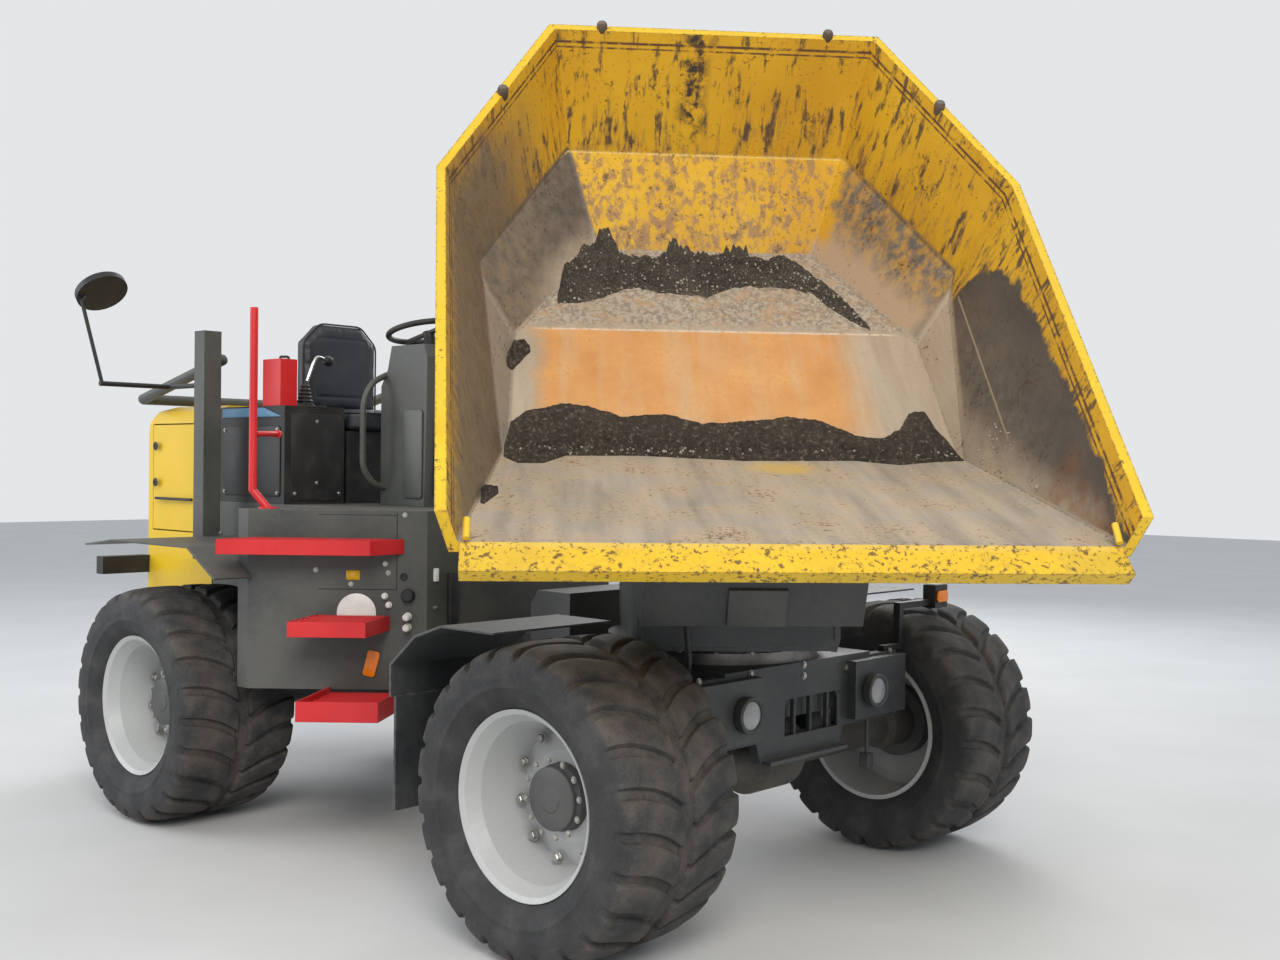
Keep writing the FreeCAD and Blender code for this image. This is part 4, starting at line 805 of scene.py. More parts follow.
CORNERS = [
    ("front_right", 0.0, -TRACK / 2),
    ("front_left", 0.0, TRACK / 2),
    ("rear_right", -WHEELBASE, -TRACK / 2),
    ("rear_left", -WHEELBASE, TRACK / 2),
]
tread = tyre_mesh()
for corner, x, y in CORNERS:
    place = Matrix.Translation(spot(x, y, TYRE_R))
    obj = piece("tyre_tread_" + corner, *tread, RUBBER, "tyre_rubber", "wheel_" + corner, place)
    work = bmesh.new()
    work.from_mesh(obj.data)
    bmesh.ops.remove_doubles(work, verts=work.verts, dist=0.0002)
    bmesh.ops.recalc_face_normals(work, faces=work.faces)
    work.to_mesh(obj.data)
    work.free()
    obj.data.set_sharp_from_angle(angle=math.radians(38))
    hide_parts("tyre_" + corner)


# Dirt in the skip, in the skip's own axes.
def along_points(table, y):
    """Straight lines between the points of a table."""
    if y <= table[0][0]:
        return table[0][1]
    for (y0, x0), (y1, x1) in zip(table, table[1:]):
        if y <= y1:
            return x0 + (x1 - x0) * (y - y0) / (y1 - y0)
    return table[-1][1]


def crust(name, rear, front, thick, jag, lump, material, seed, columns, rows):
    """Caked dirt between two edge lines on the skip's inner face.

    Where its edge is little jagged, it is calm at the rear and rough towards the nose.
    """
    low, high = rear[0][0], rear[-1][0]
    sunk = -0.004
    points, faces = [], []
    for i in range(columns + 1):
        y = low + (high - low) * i / columns
        ends = min(1.0, min(i, columns - i) / (columns * 0.05)) ** 0.6
        wave = noise.fractal(Vector((y * 17, seed, 0)), 0.9, 2.0, 6)
        wave += 0.5 * noise.noise(Vector((y * 70, seed, 3)))
        back = along_points(rear, y) + wave * jag
        wave = noise.fractal(Vector((y * 21, seed + 5, 0)), 0.9, 2.0, 6)
        fore = along_points(front, y) + wave * jag * 0.45
        for j in range(rows + 1):
            t = j / rows
            x = back + (fore - back) * t
            body = (4 * t * (1 - t)) ** 0.4
            rough = noise.fractal(Vector((x * 38, y * 38, seed)), 0.55, 2.1, 5)
            clods = max(0.0, noise.noise(Vector((x * 55, y * 55, seed + 9))) - 0.1)
            broad = noise.noise(Vector((x * 6, y * 6, seed + 2)))
            share = 0.35 + 0.65 * min(1.0, max(0.0, (t - 0.45) / 0.2)) if jag < 0.015 else 1.0
            tall = thick * body * ends * (0.75 + 0.45 * broad)
            tall += lump * (rough + 1.6 * clods) * body * ends * share
            if j in (0, rows) or i in (0, columns):
                tall = sunk
            points.append((x, y, sheet_height(x, y) + max(tall, sunk)))
    for i in range(columns):
        for j in range(rows):
            a = i * (rows + 1) + j
            faces.append([a, a + 1, a + rows + 2, a + rows + 1])
    piece(name, points, faces, material, "skip_yellow", "skip", SKIP)


def soil(name, dark, light, grain):
    """Packed soil, darker where it stands damp, with pale grit."""
    s = Shade(name)
    cloud = s.noise(s.coords, 7, 6)
    grit = s.noise(s.coords, grain, 8, 0.75, 2.0)
    sand = s.noise(s.coords, grain * 4, 4, 0.6, 6.0)
    base = s.mix(s.ramp(cloud, 0.36, 0.64), dark, light)
    base = s.mix(s.ramp(s.plus(grit, sand, 0.25), 0.68, 0.76, 0, 0.75), base, (0.27, 0.22, 0.165))
    base = s.mix(s.ramp(grit, 0.47, 0.39, 0, 0.8), base, (0.014, 0.01, 0.007))
    s.set(Base_Color=base, Roughness=s.ramp(cloud, 0.35, 0.7, 0.7, 0.95))
    return s.bump(s.plus(grit, sand, 0.4), 1.0, 0.012).mat


DAMP_SOIL = soil("damp_soil", (0.034, 0.023, 0.014), (0.062, 0.043, 0.027), 55)
DRY_SOIL = soil("dry_soil", (0.05, 0.039, 0.028), (0.1, 0.08, 0.058), 75)
STONE = plastic("pale_stone", (0.3, 0.26, 0.21), 0.8, 0.3)

# Edges of the dirt, as y and x.
UPPER_REAR = [
    (-0.63, -0.5), (-0.6, -0.66), (-0.52, -0.8), (-0.44, -0.885), (-0.41, -0.9), (-0.36, -0.825),
    (-0.27, -0.785), (-0.2, -0.81), (-0.103, -0.872), (-0.05, -0.83), (0.055, -0.825), (0.166, -0.855),
    (0.239, -0.8), (0.353, -0.822), (0.432, -0.713), (0.508, -0.608), (0.576, -0.461), (0.632, -0.322),
]
UPPER_FRONT = [
    (-0.63, -0.455), (-0.57, -0.46), (-0.5, -0.47), (-0.4, -0.528), (-0.309, -0.577),
    (-0.187, -0.536), (-0.009, -0.522), (0.106, -0.593), (0.215, -0.597), (0.33, -0.59),
    (0.428, -0.56), (0.485, -0.457), (0.57, -0.37), (0.632, -0.318),
]
LOWER_REAR = [
    (-0.83, 0.42), (-0.805, 0.268), (-0.748, 0.207), (-0.621, 0.167), (-0.525, 0.177), (-0.399, 0.235),
    (-0.237, 0.219), (-0.112, 0.265), (0.05, 0.249), (0.249, 0.221), (0.344, 0.243), (0.461, 0.325),
    (0.557, 0.335), (0.632, 0.285), (0.684, 0.186), (0.745, 0.172), (0.767, 0.27), (0.8, 0.345),
    (0.83, 0.44),
]
LOWER_FRONT = [
    (-0.83, 0.5), (-0.777, 0.589), (-0.688, 0.585), (-0.61, 0.476), (-0.348, 0.463), (0.015, 0.52),
    (0.425, 0.499), (0.565, 0.554), (0.72, 0.5), (0.83, 0.48),
]
BEND_REAR = [(-0.825, -0.08), (-0.8, -0.21), (-0.76, -0.215), (-0.735, -0.16)]
BEND_FRONT = [(-0.825, -0.03), (-0.8, -0.03), (-0.76, -0.1), (-0.735, -0.14)]
NOSE_REAR = [(-0.888, 0.95), (-0.875, 0.9), (-0.85, 0.91), (-0.835, 0.94)]
NOSE_FRONT = [(-0.888, 1.08), (-0.875, 1.09), (-0.85, 1.02), (-0.835, 0.97)]
crust("dirt_band_upper", UPPER_REAR, UPPER_FRONT, 0.016, 0.03, 0.014, DRY_SOIL, 3.0, 340, 70)
crust("dirt_band_lower", LOWER_REAR, LOWER_FRONT, 0.034, 0.008, 0.016, DAMP_SOIL, 8.0, 400, 64)
crust("dirt_clump_bend", BEND_REAR, BEND_FRONT, 0.024, 0.016, 0.012, DAMP_SOIL, 0.024 * 900, 40, 40)
crust("dirt_clump_nose", NOSE_REAR, NOSE_FRONT, 0.022, 0.016, 0.012, DAMP_SOIL, 0.022 * 900, 40, 40)

# Loose stones: on the upper band, before the lower one, and along the left flank.
ON_UPPER = 560
BEFORE_LOWER = 760
ALL_STONES = 900
stones = Heap()
draw = random.Random(11)
for k in range(ALL_STONES):
    share = draw.random()
    size = 0.0022 + 0.0065 * draw.random() ** 3
    if k < ON_UPPER:
        y = draw.uniform(-0.6, 0.6)
        x = along_points(UPPER_REAR, y) * (1 - share) + along_points(UPPER_FRONT, y) * share + 0.01
        lift = 0.016 * (4 * share * (1 - share)) ** 0.4
    elif k < BEFORE_LOWER:
        y = draw.uniform(-0.78, 0.8)
        x = 0.43 + 0.06 * share
        lift = 0.03 * (1 - share) ** 0.5
    else:
        y = draw.uniform(0.8, 0.9)
        x = 0.5 + 0.6 * share**1.5
        lift = 0.0
    grain = bmesh.new()
    bmesh.ops.create_icosphere(grain, subdivisions=1, radius=1.0)
    lie = at(x, y, sheet_height(x, y) + lift) @ Euler((k, k * 1.7, k * 0.6)).to_matrix().to_4x4()
    stones.mesh(grain, lie @ Matrix.Diagonal((size, size * 0.8, size * 0.65, 1)))
stones.make("dirt_stones", STONE, "skip_yellow", "skip", SKIP, 20)

# Materials of the small hard parts.
ZINC = metal("zinc_bolt_heads", (0.46, 0.45, 0.42), 0.38, dirt=0.35)
BLANK = plastic("blank_label", (0.62, 0.62, 0.6), 0.45, 0.12)
AMBER = plastic("amber_lens", (0.75, 0.2, 0.008), 0.18, 0.08)
RUBY = plastic("red_lens", (0.5, 0.008, 0.006), 0.18, 0.08)
CLEAR = plastic("lamp_lens", (0.24, 0.25, 0.26), 0.1, 0.05)
LAMP_BOWL = metal("lamp_reflector", (0.8, 0.8, 0.79), 0.16, dirt=0.05)
STICKER = plastic("yellow_label", (0.7, 0.42, 0.01), 0.4, 0.15)
BLUE = plastic("blue_strip", (0.055, 0.16, 0.27), 0.4, 0.25)
RUST = painted("rusty_knob", (0.075, 0.045, 0.03), 0.75, 0.5)

# Knobs on the skip's rim, rusted and rounded, and the weld beads at its lip.
KNOB = [(0.015, 0), (0.019, 0.012), (0.0215, 0.03), (0.021, 0.042), (0.016, 0.052), (0.007, 0.056)]
KNOB += [(0, 0.0565)]
knobs = Heap()
for x, y, z in [(-1.225, 0.4616, 2.168), (-0.7955, 0.851, 2.1)]:
    for side in (1, -1):
        knobs.lathe(KNOB, at(x, y * side, z))
knobs.make("skip_knob_caps", RUST, "skip_yellow", "skip", SKIP)
beads = Heap()
for y in (-0.925, 0.925):
    beads.tube([(1.4, y * 0.985, 2.035), (1.462, y * 0.985, 2.02)], 0.01)
beads.make("skip_lip_welds", YELLOW, "skip_yellow", "skip", SKIP)

# Wheels: nuts on the disc, cap and bolts on the hub.
DISC_R = 0.235
HUB_CAP = [(0.104, -0.002), (0.104, 0.007), (0.098, 0.011), (0.045, 0.012), (0.041, 0.016), (0.02, 0.018)]
HUB_CAP += [(0, 0.018)]
for corner, x, y in CORNERS:
    out = -1 if y < 0 else 1
    outward = (0, out, 0)
    rim = frame["nodes"]["rim_" + corner].data.vertices
    places = [v.co - ORIGIN - Vector((x, 0, TYRE_R)) for v in rim]
    disc = max(out * p.y for p in places if math.hypot(p.x, p.z) < DISC_R)
    low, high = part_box("hub_" + corner)
    end = max(out * (low[1] - ORIGIN.y), out * (high[1] - ORIGIN.y))
    hub = Heap().lathe(HUB_CAP, facing((x, out * end, TYRE_R), outward), 48)
    hub.make("hub_cap_" + corner, HUB, "hub_grey", "wheel_" + corner)
    nuts = Heap()
    nuts.bolts(circle((x, out * end, TYRE_R), 1, 0.126, 12, 8), outward, 0.0085, 0.007)
    nuts.bolts(circle((x, out * disc, TYRE_R), 1, 0.205, 10, 12), outward, 0.015, 0.02)
    nuts.make("wheel_nuts_" + corner, ZINC, "hub_grey", "wheel_" + corner)

TREES = {}


def seat_on(node, place, way):
    """Where a line along a direction meets a node, in machine axes, or nothing."""
    if node not in TREES:
        mesh = frame["nodes"][node].data
        faces = [tuple(p.vertices) for p in mesh.polygons]
        TREES[node] = BVHTree.FromPolygons([v.co for v in mesh.vertices], faces)
    way = Vector(way).normalized()
    found = TREES[node].ray_cast(spot(*place) + way * 0.08, -way, 0.3)[0]
    return None if found is None else found - ORIGIN


# Steps: toothed bars that stand in the trays, mirrored to the left.
STEP_RUN = Vector((0.7334, 0.6798, 0))
STEP_OUT = Vector((0.6798, -0.7334, 0))
BAR_GAP = 0.026
TOOTH = 0.012
BAR_HALF = 0.0016
TRAYS = [
    # middle of the tray, its floor and its upper edge
    ((-1.626, -0.919), 1.226, 1.282),
    ((-1.489, -0.87), 0.906, 0.962),
    ((-1.41, -0.86), 0.586, 0.64),
]
TOOTH_FACES = [[0, 1, 2, 3, 4], [9, 8, 7, 6, 5], [2, 7, 8, 3], [3, 8, 9, 4]]


def on_tray(p, floor_z, edge_z):
    """Whether a tooth at a place stands on the tray's floor and clear of its edge."""
    around = (p - STEP_RUN * TOOTH, p + STEP_RUN * TOOTH, p + STEP_OUT * 0.006, p - STEP_OUT * 0.006)
    held = [seat_on("steps", (q.x, q.y, edge_z - 0.005), UP) for q in around]
    return all(h is not None and h.z <= floor_z + 0.01 for h in held)


grating = Heap()
for middle, floor_z, edge_z in TRAYS:
    for bar in range(-10, 11):
        for step in range(-34, 35):
            p = Vector((*middle, 0)) + STEP_OUT * bar * BAR_GAP + STEP_RUN * step * TOOTH
            if not on_tray(p, floor_z, edge_z):
                continue
            a = p - STEP_RUN * 0.006
            b = p + STEP_RUN * 0.006
            notch_z = edge_z - 0.004
            rows = [(a, floor_z), (b, floor_z), (b, notch_z), (p, edge_z + 0.005), (a, notch_z)]
            side = STEP_OUT * BAR_HALF
            tooth = [(q.x + o.x, q.y + o.y, z) for o in (side, -side) for q, z in rows]
            for flip in (1, -1):
                grating.add(mirrored(tooth, flip), TOOTH_FACES)
grating.make("step_gratings", RED, "red_paint", sharp=10)

# Deck's slanted corner and front: bolts, labels, filler, couplings and a blank round sign.
CORNER_OUT = (0.68, -0.73, 0)


def on_corner(x, y, z):
    return across((x, y, z), STEP_RUN, CORNER_OUT)


fixings = Heap()
CORNER_BOLTS = [(-1.676, -0.861, 1.15), (-1.454, -0.655, 1.14), (-1.568, -0.761, 1.092)]
CORNER_BOLTS += [(-1.405, -0.609, 1.383), (-1.463, -0.664, 1.178)]
fixings.bolts(CORNER_BOLTS, CORNER_OUT, 0.008)
FRONT_FACE_BOLTS = [(-1.335, -0.5, 0.991), (-1.335, -0.47, 1.365), (-2.725, -0.69, 1.254)]
fixings.bolts(FRONT_FACE_BOLTS, FORWARD, 0.009)
fixings.make("deck_bolts", ZINC, "grey_paint")
sign = Heap()
sign.lathe([(0.082, 0), (0.082, 0.0015), (0.08, 0.0022), (0, 0.0022)], on_corner(-1.55, -0.745, 0.971), 48)
sign.plate(0.062, 0.081, 0.03, 0.0015, 0.0005, on_front(-2.33, -0.372, 1.654))
sign.make("blank_labels", BLANK, "grey_paint")
label = Heap().plate(0.029, 0.02, 0.006, 0.0012, 0.0003, on_corner(-1.561, -0.7555, 1.129))
label.make("yellow_label", STICKER, "grey_paint")
SEAM = on_corner(-1.428, -0.631, 1.23)
seams = Heap()
seams.box((-0.0018, -0.16, -0.001), (0.0018, 0.16, 0.0006), 0, SEAM)
seams.box((-0.33, -0.1618, -0.001), (0.0018, -0.1582, 0.0006), 0, SEAM)
seams.box((-0.33, 0.15, -0.001), (0.0018, 0.1525, 0.0006), 0, SEAM)
seams.make("deck_panel_seams", BLACK, "grey_paint", sharp=10)
FILLER = [(0.03, 0), (0.03, 0.012), (0.026, 0.016), (0.026, 0.03), (0.022, 0.034), (0, 0.034)]
LOCK = [(0.016, 0), (0.016, 0.006), (0.01, 0.006), (0.01, 0.001), (0, 0.001)]
service = Heap()
service.lathe(FILLER, on_corner(-1.392, -0.598, 1.046), 10)
service.lathe(LOCK, on_corner(-1.406, -0.611, 1.124), 20)
service.box((-0.022, -0.11, 0), (0.022, 0.11, 0.03), 0.008, on_front(-1.335, -0.42, 1.03))
service.make("deck_service_points", BLACK, "black_plastic")
LARGE_COUPLING = [(0.017, 0), (0.017, 0.012), (0.012, 0.014), (0.012, 0.03), (0.0155, 0.032)]
LARGE_COUPLING += [(0.0155, 0.052), (0.011, 0.056), (0.011, 0.06), (0, 0.06)]
SMALL_COUPLING = [(0.014, 0), (0.014, 0.01), (0.009, 0.012), (0.009, 0.026), (0, 0.026)]
couplings = Heap()
for z in (0.959, 0.915):
    couplings.lathe(LARGE_COUPLING, on_corner(-1.392, -0.598, z), 20)
for place in [(-1.463, -0.664, 1.043), (-1.451, -0.652, 1.006)]:
    couplings.lathe(SMALL_COUPLING, on_corner(*place), 16)
couplings.box((-0.011, -0.028, 0), (0.011, 0.028, 0.016), 0.004, on_front(-1.335, -0.503, 1.132))
couplings.make("deck_couplings", BLANK, "grey_paint")
TILT = Matrix.Rotation(math.radians(-14), 4, "Z")
reflector = Heap().plate(0.026, 0.055, 0.012, 0.007, 0.002, on_corner(-1.502, -0.701, 0.76) @ TILT)
reflector.make("side_reflector", AMBER, "grey_paint")

# Hood: quarter-turn fasteners and the latch bar; lens covers on the tail lamps.
CLIP = [(0.022, 0), (0.022, 0.004), (0.017, 0.006), (0.008, 0.006), (0.008, 0.002), (0, 0.002)]
clips = Heap()
for z in (1.671, 1.483):
    clips.lathe(CLIP, facing((-3.5, -0.616, z), RIGHT), 24)
clips.box((-3.49, -0.628, 1.394), (-3.12, -0.616, 1.408))
clips.make("hood_fasteners", BLACK, "black_plastic", BODY_OF["hood_door"])
for colour, material, half, place in [("red", RUBY, 0.048, 0.79), ("amber", AMBER, 0.04, 0.685)]:
    covers = Heap()
    for y in (-place, place):
        covers.plate(half, 0.032, 0.012, 0.006, 0.002, across((-3.655, y, 1.055), RIGHT, (-1, 0, 0)))
    covers.make("tail_lamp_" + colour + "_lenses", material, "black_plastic")

# Front frame: beam and slew ring bolts, lamps, window ribs and the rod under the beam.
BEAM_BOLTS = [(-0.306, 0.868), (0.012, 0.868), (0.013, 0.827), (0.287, 0.833)]
BEAM_BOLTS += [(-0.591, 0.868), (0.591, 0.868)]
front_bolts = Heap()
for y, z in BEAM_BOLTS:
    found = seat_on("front_chassis", (0.215, y, z), FORWARD)
    if found is not None:
        front_bolts.bolts([found], FORWARD, 0.01, 0.008)
front_bolts.bolts(circle((SLEW_X, 0, 0.922), 2, 0.385, 18, 10), UP, 0.01, 0.01)
front_bolts.make("front_frame_bolts", ZINC, "grey_paint", FRONT)
LAMP_Z = 0.738
LAMP_RING = [(0.064, -0.01), (0.066, 0.006), (0.066, 0.02), (0.06, 0.024), (0.052, 0.02), (0.05, 0.014)]
BOWL = [(0.05, 0.0145), (0.04, 0.0138), (0.02, 0.0136), (0, 0.0136)]
LENS = [(0.05, 0.015), (0.044, 0.02), (0.03, 0.024), (0.014, 0.026), (0, 0.0265)]
bowls, lenses, rings = Heap(), Heap(), Heap()
for y in (-0.395, 0.395):
    ahead = facing((0.262, y, LAMP_Z), FORWARD)
    rings.lathe(LAMP_RING, ahead, 40)
    bowls.lathe(BOWL, ahead, 40)
    lenses.lathe(LENS, ahead, 40)
    rings.bolts(circle((0.284, y, LAMP_Z), 0, 0.058, 3, math.degrees(0.5)), FORWARD, 0.004, 0.003)
# Lamp rings, window ribs and rod take the frame's darker paint, which is painted shade under the skip.
rings.make("lamp_rings", FRAME_PAINTED_SHADE, "grey_paint", FRONT)
bowls.make("lamp_bowls", LAMP_BOWL, "grey_paint", FRONT)
lenses.make("lamp_lenses", CLEAR, "grey_paint", FRONT)
ribs = Heap()
for y in (-0.04, 0.06, 0.17):
    ribs.box((0.176, y, 0.61), (0.196, y + 0.012, 0.755))
WINDOW = [(0.192, -0.104, 0.6), (0.192, -0.104, 0.76), (0.192, 0.244, 0.76), (0.192, 0.244, 0.6)]
ribs.tube(WINDOW, 0.008, bend=0.05)
ribs.tube([(0.15, 0.512, 0.64), (0.15, 0.512, 0.463)], 0.009)
ribs.box((0.128, 0.49, 0.4), (0.172, 0.53, 0.463), 0.006)
ribs.make("front_ribs_and_rod", FRAME_PAINTED_SHADE, "grey_paint", FRONT)
UPRIGHT = facing((0.22, 0.952, 1.068), FORWARD) @ Matrix.Rotation(math.pi / 2, 4, "Z")
marker = Heap().plate(0.024, 0.04, 0.008, 0.01, 0.003, UPRIGHT)
marker.make("front_marker_lens", AMBER, "black_plastic", FRONT)
cap = Heap().plate(0.026, 0.044, 0.01, 0.006, 0.002, at(0.19, 0.952, 1.115))
cap.make("front_marker_cap", BLANK, "black_plastic", FRONT)
LAMP_FOOT = at(0.196, -0.658, 0)
ARM = [(0.15, -0.6, 0.872), (0.19, -0.63, 0.93), (0.2, -0.655, 1.06), (0.2, -0.655, 1.085)]
arm = Heap()
arm.tube(ARM, 0.011, bend=0.04)
arm.slab(round_outline(0.024, 0.036, 0.01), 1.08, 1.108, 0.004, LAMP_FOOT)
arm.lathe([(0.024, 0), (0.024, 0.01), (0, 0.01)], at(0.15, -0.6, 0.866), 20)
arm.make("side_lamp_arm", BLACK, "black_plastic", FRONT)
SIDE_LENS = round_outline(0.021, 0.033, 0.01)
red = Heap().slab(SIDE_LENS, 1.118, 1.15, 0.006, LAMP_FOOT)
red.make("side_lamp_red", RUBY, "black_plastic", FRONT)
white = Heap().slab(SIDE_LENS, 1.107, 1.12, 0.003, LAMP_FOOT)
white.make("side_lamp_white", CLEAR, "black_plastic", FRONT)

# Turntable: raised panel on the sloping apron.
APRON = across((0.8803, 0, 1.095), LEFT, (0.903, 0, -0.43))
apron = Heap().box((-0.09, -0.015, -0.002), (0.107, 0.124, 0.012), 0.004, APRON)
# The apron panel takes the frame's darker paint, which is painted shade under the skip.
apron.make("turntable_apron_panel", FRAME_PAINTED_SHADE, "grey_paint", "turntable", TURN)

# Operator place: lever with its bellows and knob.
BELLOWS = [(0.052, 0), (0.052, 0.006)]
for k in range(6):
    BELLOWS += [(0.044 - 0.004 * k, 0.012 + 0.018 * k), (0.034 - 0.0038 * k, 0.021 + 0.018 * k)]
BELLOWS += [(0.013, 0.128), (0, 0.128)]
lever = Heap()
lever.lathe(BELLOWS, at(-2.45, -0.41, 1.86))
lever.box((-2.54, -0.47, 1.859), (-2.36, -0.35, 1.866))
for y in (-0.455, -0.43):
    lever.box((-2.385, y, 1.864), (-2.37, y + 0.014, 1.876), 0.002)
lever.make("lever_bellows", BLACK, "black_plastic")
STICK = [(-2.45, -0.405, 1.97), (-2.45, -0.362, 2.08), (-2.45, -0.342, 2.109), (-2.45, -0.3, 2.095)]
stick = Heap().tube(STICK, 0.0075, bend=0.02)
stick.make("lever_stick", CHROME, "rod_chrome")
LEVER_KNOB = [(0.008, 0), (0.02, 0.006), (0.025, 0.022), (0.022, 0.04), (0.012, 0.05), (0, 0.052)]
SWITCH = [(0.02, 0), (0.02, 0.004), (0.013, 0.008), (0.013, 0.022), (0, 0.022)]
knob = Heap()
knob.lathe(LEVER_KNOB, facing((-2.45, -0.305, 2.096), (0, 1, -0.3)))
knob.lathe(SWITCH, at(-2.6, -0.33, 1.86), 20)
knob.make("lever_knob", BLACK, "black_plastic")

# Grab handles on the console and brackets of the handrails, on both sides.
GRAB = [(-2.1, 0.19, 2.015), (-2.105, 0.275, 1.975), (-2.11, 0.318, 1.885), (-2.11, 0.318, 1.57)]
GRAB += [(-2.105, 0.262, 1.5), (-2.1, 0.19, 1.48)]
BRACKET = [(-1.942, 0.985, 1.716), (-1.96, 0.92, 1.718), (-1.995, 0.85, 1.719)]
BRACKET_END = [(-1.995, 0.85, 1.719), (-2.01, 0.835, 1.719)]
handles, rail = Heap(), Heap()
for side in (-1, 1):
    handles.tube(mirrored(GRAB, side), 0.0145, bend=0.05)
    rail.tube(mirrored(BRACKET, side), 0.012)
    rail.tube(mirrored(BRACKET_END, side), 0.018)
    rail.lathe([(0.04, 0), (0.04, 0.006), (0.018, 0.01)], at(-1.896, 0.954 * side, 1.4), 24)
handles.make("console_grab_handles", GREY, "console_grey")
rail.make("handrail_brackets", RED, "red_paint")

# Panels, the blue strip, screws and the red box's latch.
panels = Heap()
panels.plate(0.25, 0.165, 0.02, 0.006, 0.002, on_right(-2.61, -0.598, 1.6))
panels.plate(0.14, 0.205, 0.02, 0.005, 0.002, on_front(-2.33, -0.425, 1.62))
panels.make("side_tank_panels", BLACK, "black_plastic")
STRIP = [(-2.87, -0.004), (-2.345, -0.004), (-2.5, 0.04), (-2.87, 0.04)]
strip = Heap().slab(STRIP, 0, 0.006, 0.002, on_right(0, -0.598, 1.812))
strip.make("side_tank_strip", BLUE, "black_plastic")
screws = Heap()
screws.bolts([(x, -0.604, z) for z in (1.452, 1.748) for x in (-2.84, -2.38)], RIGHT, 0.007)
TANK_SCREWS = [(-0.425, 1.79), (-0.425, 1.5), (-0.3, 1.45), (-0.545, 1.45)]
screws.bolts([(-2.325, y, z) for y, z in TANK_SCREWS], FORWARD, 0.007)
screws.bolts([(-1.785, y, z - 0.01) for z in (1.44, 2.08) for y in (-0.15, 0.15)], FORWARD, 0.006)
screws.make("operator_screws", ZINC, "grey_paint")
console = Heap()
for side in (-1, 1):
    flank = across((-1.88, 0.2 * side, 1.64), (-side, 0, 0), (0, side, 0))
    console.plate(0.07, 0.205, 0.018, 0.008, 0.003, flank)
console.plate(0.15, 0.2, 0.025, 0.006, 0.002, on_front(-1.785, 0, 1.64))
console.box((-1.787, -0.2008, 1.898), (-1.7842, 0.2008, 1.902), 0.0004)
console.make("console_panels", CONSOLE, "console_grey")
LATCH = [(-2.455, -0.545, 2.078), (-2.455, -0.545, 2.094), (-2.43, -0.515, 2.094), (-2.43, -0.515, 2.078)]
latch = Heap()
latch.box((-2.5, -0.505, 1.94), (-2.41, -0.488, 2.02), 0.006)
latch.tube(LATCH, 0.006, bend=0.008)
latch.make("red_box_latch", BLACK, "black_plastic")

# Seat: padded cushions by cloth, with piping and a sewn panel line.
VOXEL = 0.006
PRESSURE = 4.0
SETTLE_FRAMES = 20
PUFF_CAP = 0.01
CROWN = 0.007
SEAM_DEEP = 0.006
SEAM_HALF = 0.014
PIPING_R = 0.0045
PIPING_INSET = 0.006


def evenly_meshed(name, work):
    """An object with an even mesh over a rough solid."""
    mesh = bpy.data.meshes.new(name)
    work.to_mesh(mesh)
    work.free()
    obj = bpy.data.objects.new(name, mesh)
    scene.collection.objects.link(obj)
    remesh = obj.modifiers.new("even", "REMESH")
    remesh.mode = "VOXEL"
    remesh.voxel_size = VOXEL
    bpy.context.view_layer.update()
    even = bpy.data.meshes.new_from_object(obj.evaluated_get(bpy.context.evaluated_depsgraph_get()))
    obj.modifiers.clear()
    obj.data = even
    return obj


def inflated(obj):
    """Where pressure from within moves the points of an object."""
    cloth = obj.modifiers.new("inflate", "CLOTH")
    cloth.settings.use_pressure = True
    cloth.settings.uniform_pressure_force = PRESSURE
    cloth.settings.effector_weights.gravity = 0.0
    for step in range(1, SETTLE_FRAMES + 1):
        scene.frame_set(step)
    swelled = obj.evaluated_get(bpy.context.evaluated_depsgraph_get()).data
    points = [v.co.copy() for v in swelled.vertices]
    obj.modifiers.clear()
    scene.frame_set(1)
    return points


def seam_distance(x, z, seam_x, seam_z):
    """How far a place is from the sewn rectangle."""
    beside = abs(x - seam_x) if z < seam_z else 1
    above = abs(z - seam_z) if x < seam_x else 1
    return min(beside, above)


def cushion(name, node, half, matrix, cut, seam):
    """A crowned pad in the space of its solid: grown by pressure from a smaller shape, then sewn."""
    wide, deep, tall = half
    outline = [(wide, -tall), (wide, tall - cut), (wide - cut, tall)]
    outline += [(-x, z) for x, z in reversed(outline)]
    work = prism([(x, -deep, z) for x, z in outline], 1, deep)
    soften(work, 0.018, 3, 0.6)
    obj = evenly_meshed(name, work)
    even = obj.data
    rest = [v.co.copy() for v in even.vertices]
    grown = inflated(obj)
    normals = [v.normal.copy() for v in even.vertices]
    for v, before, after, normal in zip(even.vertices, rest, grown, normals):
        move = after - before
        if move.length > PUFF_CAP:
            move = move.normalized() * PUFF_CAP
        p = before + move
        if before.y < 0:
            x, z = abs(before.x), abs(before.z)
            p.y -= CROWN * (1 - min(1, x / wide) ** 4) * (1 - min(1, z / tall) ** 4)
            p -= normal * SEAM_DEEP * max(0.0, 1 - seam_distance(x, z, *seam) / SEAM_HALF) ** 2
        v.co = p
    even.materials.clear()
    even.materials.append(VINYL)
    even.polygons.foreach_set("use_smooth", [True] * len(even.polygons))
    obj.matrix_world = matrix
    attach(obj, REAR)
    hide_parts(node)
    shrink_x = 1 - PIPING_INSET / wide
    shrink_z = 1 - PIPING_INSET / tall
    loop = [(x * shrink_x, -deep + 0.004, z * shrink_z) for x, z in outline]
    piping = Heap().tube([*loop, loop[0]], PIPING_R, steps=8)
    piping.make(name + "_piping", BLACK, "seat_vinyl", REAR, matrix)


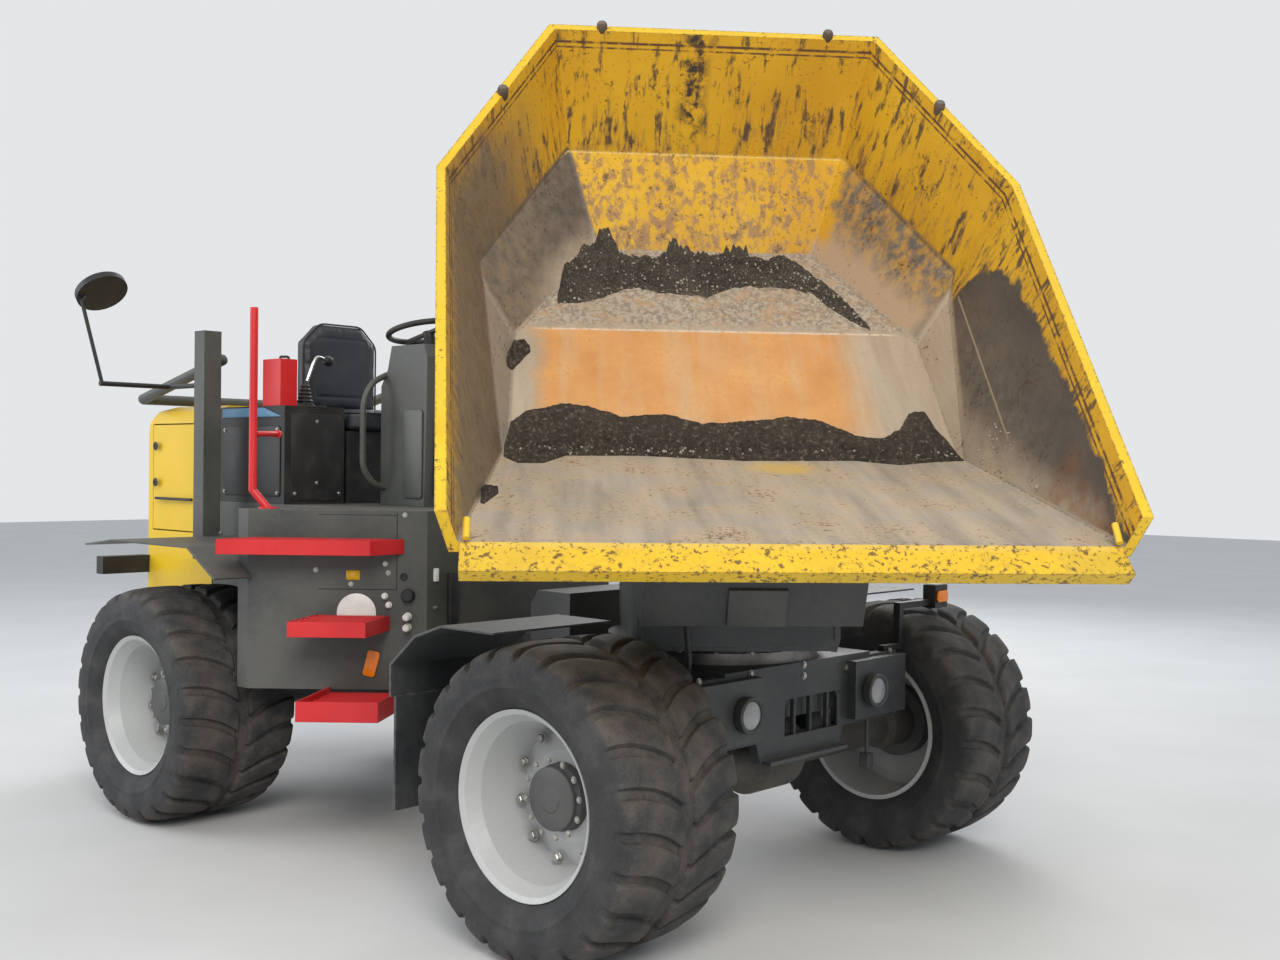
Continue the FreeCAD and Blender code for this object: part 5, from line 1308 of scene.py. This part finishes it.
# The seat lies with its sewn side up and its rounded corners forward; the back stands.
LYING = MACHINE @ at(-2.52, 0, 1.802) @ Matrix(((0, 0, 1), (-1, 0, 0), (0, -1, 0))).to_4x4()
STANDING = MACHINE @ at(-2.7853, 0, 2.08) @ Matrix.Rotation(math.radians(90), 4, "Z")
cushion("seat_cushion_pad", "seat_cushion", (0.228, 0.042, 0.208), LYING, 0.05, (0.15, 0.13))
cushion("seat_back_pad", "seat_back", (0.228, 0.034, 0.228), STANDING, 0.1, (0.15, 0.15))

# Floor and sky.
floor_mesh = bpy.data.meshes.new("studio_floor")
floor_mesh.from_pydata([(-30, -30, 0), (30, -30, 0), (30, 30, 0), (-30, 30, 0)], [], [(0, 1, 2, 3)])
floor = bpy.data.objects.new("studio_floor", floor_mesh)
scene.collection.objects.link(floor)
floor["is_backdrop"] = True
ground = Shade("studio_floor_pale")
cloudy = ground.ramp(ground.noise(ground.coords, 1.2, 4), 0.3, 0.7)
ground.set(Base_Color=ground.mix(cloudy, (0.6, 0.6, 0.59), (0.64, 0.64, 0.63)), Roughness=0.8)
floor.data.materials.append(ground.mat)
world = bpy.data.worlds.new("studio_sky")
scene.world = world
sky = Nodes(world)
paths = sky.put("ShaderNodeLightPath").outputs
seen = sky.math("MAXIMUM", paths["Is Camera Ray"], paths["Is Glossy Ray"])
plain = sky.put("ShaderNodeBackground", {"Color": (0.8, 0.85, 0.92), "Strength": 0.75}).outputs[0]
shown = sky.put("ShaderNodeBackground", {"Color": (0.86, 0.88, 0.9), "Strength": 0.9}).outputs[0]
either = sky.put("ShaderNodeMixShader", {0: seen, 1: plain, 2: shown}).outputs[0]
sky.put("ShaderNodeOutputWorld", {"Surface": either})


# Lamps and camera.
def lamp(name, place, target, size, watts, colour=(1, 1, 1)):
    data = bpy.data.lights.new(name, "AREA")
    data.size = size
    data.energy = watts
    data.color = colour
    obj = bpy.data.objects.new(name, data)
    obj.location = place
    obj.rotation_euler = (Vector(target) - Vector(place)).to_track_quat("-Z", "Y").to_euler()
    scene.collection.objects.link(obj)


lamp("key_lamp", (7.5, -6.5, 7.5), (0.2, 0, 1.3), 5.0, 900, (1.0, 0.98, 0.94))
lamp("fill_lamp", (-7.5, -7.0, 5.0), (-0.5, 0, 1.0), 6.0, 420, (0.94, 0.97, 1.0))
lamp("back_lamp", (-4.0, 8.0, 6.5), (0, 0, 1.2), 5.0, 380)

SENSOR = 36.0
FOCAL_PIXELS = 1390.5
PHOTO_WIDTH = 1280.0
EYE = (3.267, -4.193, 1.608)
YAW = math.radians(132.93)
PITCH = math.radians(-0.66)
ROLL = math.radians(0.7)
camera_data = bpy.data.cameras.new("photo_camera")
camera_data.sensor_width = SENSOR
camera_data.lens = SENSOR * FOCAL_PIXELS / PHOTO_WIDTH
camera_data.clip_end = 200.0
camera = bpy.data.objects.new("photo_camera", camera_data)
scene.collection.objects.link(camera)
scene.camera = camera
ahead = Vector((math.cos(YAW) * math.cos(PITCH), math.sin(YAW) * math.cos(PITCH), math.sin(PITCH)))
level = Vector((math.sin(YAW), -math.cos(YAW), 0))
rise = level.cross(ahead)
right = math.cos(ROLL) * level + math.sin(ROLL) * rise
over = -math.sin(ROLL) * level + math.cos(ROLL) * rise
camera.matrix_world = Matrix.Translation(spot(*EYE)) @ Matrix((right, over, -ahead)).transposed().to_4x4()
scene.view_settings.view_transform = "Standard"

low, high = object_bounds()
